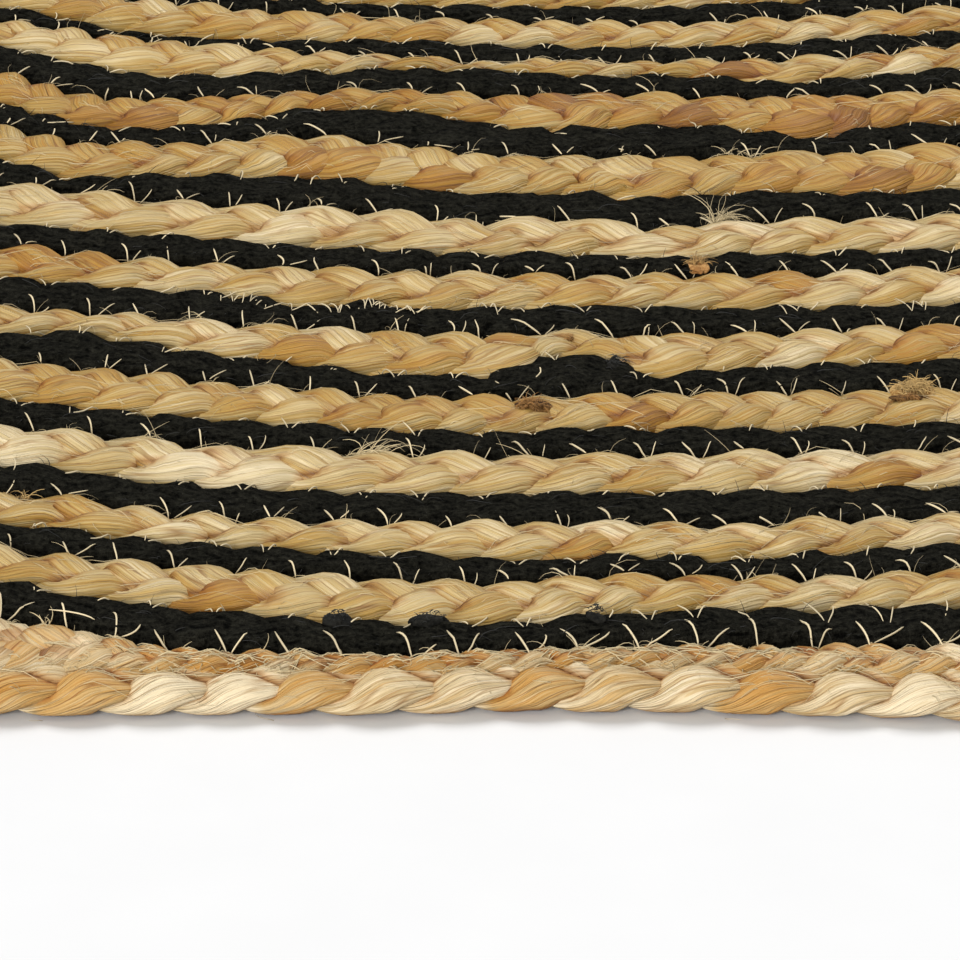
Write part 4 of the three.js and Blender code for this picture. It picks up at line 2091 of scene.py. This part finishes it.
@dataclass
class Studio:
    """The pale floor and the soft lights.

    Args:
        floor_side: Side of the floor.
        back_light: Strength of the light from all round.
        lit_spot: The point that the soft lights face.
    """

    floor_side: float = 60.0
    back_light: float = 0.52
    lit_spot: Triple = (0.0, -0.45, 0.0)

    def build(self) -> None:
        """Adds the floor, the lights and the light from all round."""
        bpy.ops.object.select_all(action="DESELECT")
        bpy.ops.mesh.primitive_plane_add(size=self.floor_side, location=(0.0, 0.0, 0.0))
        floor = bpy.context.active_object
        floor.name = "floor"
        floor.data.materials.append(FloorFinish("pale_floor").material())
        self.add_softbox("front_softbox", place=(-1.5, -3.7, 1.0), side=1.6, power=168.0)
        self.add_softbox("top_softbox", place=(0.6, 1.1, 2.8), side=1.6, power=98.0)
        world = bpy.data.worlds.new("studio")
        world.use_nodes = True
        surround = world.node_tree.nodes["Background"]
        surround.inputs["Color"].default_value = (1.0, 1.0, 1.0, 1.0)
        surround.inputs["Strength"].default_value = self.back_light
        bpy.context.scene.world = world
        bpy.context.scene.view_settings.view_transform = "Standard"

    def add_softbox(self, name: str, place: Triple, side: float, power: float) -> None:
        """Adds a square light that faces the front of the rug.

        Args:
            name: The light's name.
            place: Where it hangs.
            side: Its side.
            power: Its power in watts.
        """
        data = bpy.data.lights.new(name, "AREA")
        data.shape = "SQUARE"
        data.size = side
        data.energy = power
        light = bpy.data.objects.new(name, data)
        light.location = place
        towards = Vector(self.lit_spot) - Vector(place)
        light.rotation_mode = "QUATERNION"
        light.rotation_quaternion = towards.to_track_quat("-Z", "Y")
        bpy.context.scene.collection.objects.link(light)


@dataclass
class Rug:
    """The whole rug: its two coiled braids and its rim.

    Args:
        plan: The lines that the braids follow.
        step: Step of the routes' samples, in turns.
        narrowest_end: Width at which a coiled braid ends.
        full_width: Width from which it has its full height.
        face_width: Width of the rim's fat strands.
        crest_overlap: How far the rim's crest lies over them.
        narrowest_crest: Least width of the crest.
        natural_tone: Colour tone of the natural braid away from the front.
        face_tone: Tone of the rim's fat strands.
        crest_tone: Tone of its crest.
        natural_lobe: Length of a lobe of the natural braid away from the front.
        black_lobe: Length of a lobe of the black braid.
        face_lobe: Length of a lobe of the rim's fat strands.
        crest_lobe: Length of a lobe of its crest.
    """

    plan: CoilPlan
    step: float = 1.0 / 1440.0
    narrowest_end: float = 2.0 * MM
    full_width: float = 8.0 * MM
    face_width: float = 10.0 * MM
    crest_overlap: float = 4.5 * MM
    narrowest_crest: float = 5.0 * MM
    natural_tone: float = 0.45
    face_tone: float = 0.10
    crest_tone: float = 0.40
    natural_lobe: float = 11.0 * MM
    black_lobe: float = 11.5 * MM
    face_lobe: float = 12.4 * MM
    crest_lobe: float = 5.8 * MM

    def coil_route(
        self, low: Callable[[Array], Array], high: Callable[[Array], Array], lobes: Array, usual: float
    ) -> Route:
        """Works out a coiled braid's route between two edges.

        Args:
            low: Radius of its inner edge.
            high: Radius of its outer edge.
            lobes: Length of its lobes in each front row.
            usual: Length of its lobes elsewhere.

        Returns:
            The route, from the middle of the rug to the rim.
        """
        turns = np.arange(-1.0, self.plan.pairs + 1.0, self.step)
        gap = self.plan.seam_gap / 2.0
        inner = np.maximum(low(turns), self.plan.hub_radius) + gap
        outer = np.minimum(high(turns), self.plan.rim_seam(TURN * turns)) - gap
        kept = np.flatnonzero(outer - inner > self.narrowest_end)
        run = slice(kept[0], kept[-1] + 1)
        fullness = 0.5 + 0.5 * smooth_step((outer - inner)[run], 0.0, self.full_width)
        lobe = self.plan.listed_at(turns[run], lobes, usual)
        return Route(turns[run], inner[run], outer[run], fullness, lobe)

    def rim_routes(self) -> tuple[Route, Route]:
        """Works out the routes of the rim's two rows, from the back of the rug round to the back.

        Returns:
            The route of the fat strands on the rug's face, and of the small ones on the rim's crest.
        """
        turns = np.arange(0.25, 1.25 + self.step / 2, self.step)
        angle = TURN * turns
        outer = self.plan.rim_outer(angle)
        inner = self.plan.rim_seam(angle) + self.plan.seam_gap
        face_inner = np.maximum(outer - self.face_width, inner)
        crest_outer = np.maximum(face_inner + self.crest_overlap, inner + self.narrowest_crest)
        full = np.ones_like(turns)
        face = Route(turns, face_inner, outer, full, self.face_lobe * full)
        crest = Route(turns, inner, crest_outer, full, self.crest_lobe * full)
        return face, crest

    def travel_on(self, route: Route, row: int, at: float) -> float:
        """Works out where a place near the front lies along a route.

        Args:
            route: The route of a braid.
            row: Its row, counted from the rim, or 0 for the rim's own.
            at: Travel from the front of the rug to the place.

        Returns:
            The travel along the route.
        """
        across_front = route.middle * angle_from(FRONT_ANGLE, TURN * route.turns)
        pair = self.plan.pair_at(route.turns) if row > 0 else np.zeros_like(route.turns)
        off = np.abs(across_front - at) + np.where(in_row(pair, row), 0.0, 1.0)
        return float(route.travel[np.argmin(off)])

    def odd_lobes(self, route: Route, rows: range) -> tuple[Triple, ...]:
        """Returns the odd lobes of a route's rows: the travel to each, its side and its depth."""
        return tuple(
            (self.travel_on(route, row, lobe.at * MM), 1.0 if lobe.is_near else -1.0, lobe.depth)
            for row in rows
            for lobe in ODD_LOBES.get(row, ())
        )

    def braids(self) -> list[Braid]:
        """Returns the rug's braids, not yet plaited."""
        plan = self.plan
        natural = self.coil_route(plan.inner_edge, plan.middle_seam, plan.lobes, self.natural_lobe)
        even = np.full_like(plan.lobes, self.black_lobe)
        black = self.coil_route(plan.middle_seam, plan.outer_edge, even, self.black_lobe)
        face, crest = self.rim_routes()
        coil_odd = self.odd_lobes(natural, range(1, len(FRONT_ROWS) + 1))
        face_odd = self.odd_lobes(face, range(1))
        return [
            Braid(
                "natural",
                Solid.NATURAL,
                Plait(natural, height=10.0 * MM, odd_lobes=coil_odd, seed=100),
                Detail.FINE,
                Detail.ROUND,
                plan.listed_at(natural.turns, plan.tones, self.natural_tone),
            ),
            Braid(
                "black",
                Solid.BLACK,
                Plait(
                    black, height=9.6 * MM, middle_width=0.36, edge_width=0.25, middle_height=0.43,
                    edge_height=0.45, rise=0.04, squareness=0.55, unevenness=0.10, locks=0.12,
                    is_woolly=True, tone_spread=0.0, rare_tone=0.0, seed=200,
                ),
                Detail.WOOLLY,
                Detail.ROUND,
                np.zeros_like(black.turns),
            ),
            Braid(
                "rim_face",
                Solid.RIM,
                Plait(
                    face, height=7.4 * MM, middle_width=0.26, edge_width=0.34, middle_height=0.12,
                    edge_height=0.45, centre=0.38, rise=0.06, roll=0.16, belly=1.8, sag=-0.12,
                    squareness=0.3, skew=0.25, swell_skew=0.0, flatness=0.85, pace_change=0.3,
                    contact_depth=0.7 * MM, floor_shade=(0.0, 0.15), tone_spread=0.12,
                    odd_lobes=face_odd, seed=300,
                ),
                Detail.FACE_FINE,
                Detail.FACE_ROUND,
                np.full_like(face.turns, self.face_tone),
            ),
            Braid(
                "rim_crest",
                Solid.RIM,
                Plait(
                    crest, height=8.3 * MM, unevenness=0.3, crease_shade_depth=1.8 * MM, tone_spread=0.2, seed=400
                ),
                Detail.CREST_FINE,
                Detail.ROUND,
                np.full_like(crest.turns, self.crest_tone),
            ),
        ]


def add_tufts(rug: Rug, braids: list[Braid], stray: Material, lint: Material) -> list[Piece]:
    """Adds the knots and tufts of each colour.

    Args:
        rug: The rug.
        braids: Its braids.
        stray: Material of pale fibres.
        lint: Material of black fibres.

    Returns:
        The pieces.
    """
    tan = ThreadFinish("tan_fibre", colour=(0.60, 0.40, 0.155)).material()
    tan_knot = KnotFinish("tan_knot", (0.24, 0.12, 0.03), (0.56, 0.39, 0.16)).material()
    brown = ThreadFinish("brown_fibre", colour=(0.34, 0.17, 0.05)).material()
    brown_knot = KnotFinish("brown_knot", (0.03, 0.012, 0.004), (0.22, 0.11, 0.03)).material()
    orange = ThreadFinish("orange_fibre", colour=(0.46, 0.28, 0.10)).material()
    orange_knot = KnotFinish("orange_knot", (0.26, 0.12, 0.035), (0.46, 0.26, 0.095)).material()
    black_knot = KnotFinish("black_knot", (0.002, 0.002, 0.0014), (0.014, 0.013, 0.01)).material()
    looks = {
        Hue.PALE: (stray, stray),
        Hue.TAN: (tan, tan_knot),
        Hue.BROWN: (brown, brown_knot),
        Hue.ORANGE: (orange, orange_knot),
        Hue.BLACK: (lint, black_knot),
    }
    pieces = []
    for hue, (fibre, knot) in looks.items():
        pieces += TuftGroup(hue, braids, rug, fibre, knot).build()
    return pieces


def main() -> None:
    """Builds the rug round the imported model."""
    logging.basicConfig(level=logging.INFO, format="%(message)s")
    view = View()
    view.add_camera()
    low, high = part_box("rim_braid")
    plan = CoilPlan(rug_radius=(high[0] - low[0]) / 2.0)
    rug = Rug(plan)
    finishes = {
        Solid.NATURAL: JuteFinish("natural_jute_fibre").material(),
        Solid.BLACK: BlackYarnFinish("black_yarn").material(),
        Solid.RIM: JuteFinish("rim_jute_fibre", RIM_PALETTE, twist=-0.22).material(),
    }
    braids = rug.braids()
    pieces = []
    for braid in braids:
        pieces += braid.build(view, finishes[braid.solid])
    natural, black, face, crest = braids
    thread = ThreadFinish("sewing_thread").material()
    pieces += SewingThread(plan, natural, black, crest).build(view, thread)
    stray = ThreadFinish("stray_fibre", colour=(0.62, 0.50, 0.29)).material()
    lint = ThreadFinish("black_lint", colour=(0.02, 0.02, 0.018)).material()
    fibres = (
        (LooseFibres("natural_fibres", natural, 2000, 1100, (0.8, 7.0), 0.06 * MM), stray),
        (LooseFibres("crest_fibres", crest, 700, 420, (0.8, 4.0), 0.11 * MM, seed=710), stray),
        (LooseFibres("face_fibres", face, 60, 160, (2.0, 6.0), 0.07 * MM, seed=730), stray),
        (LooseFibres("black_fibres", black, 1500, 200, (0.7, 3.5), 0.08 * MM, seed=720), lint),
    )
    for group, material in fibres:
        pieces.append(group.build(view, material))
    pieces += add_tufts(rug, braids, stray, lint)
    for piece in pieces:
        piece.dress()
    Studio().build()


if __name__ == "__main__":
    main()
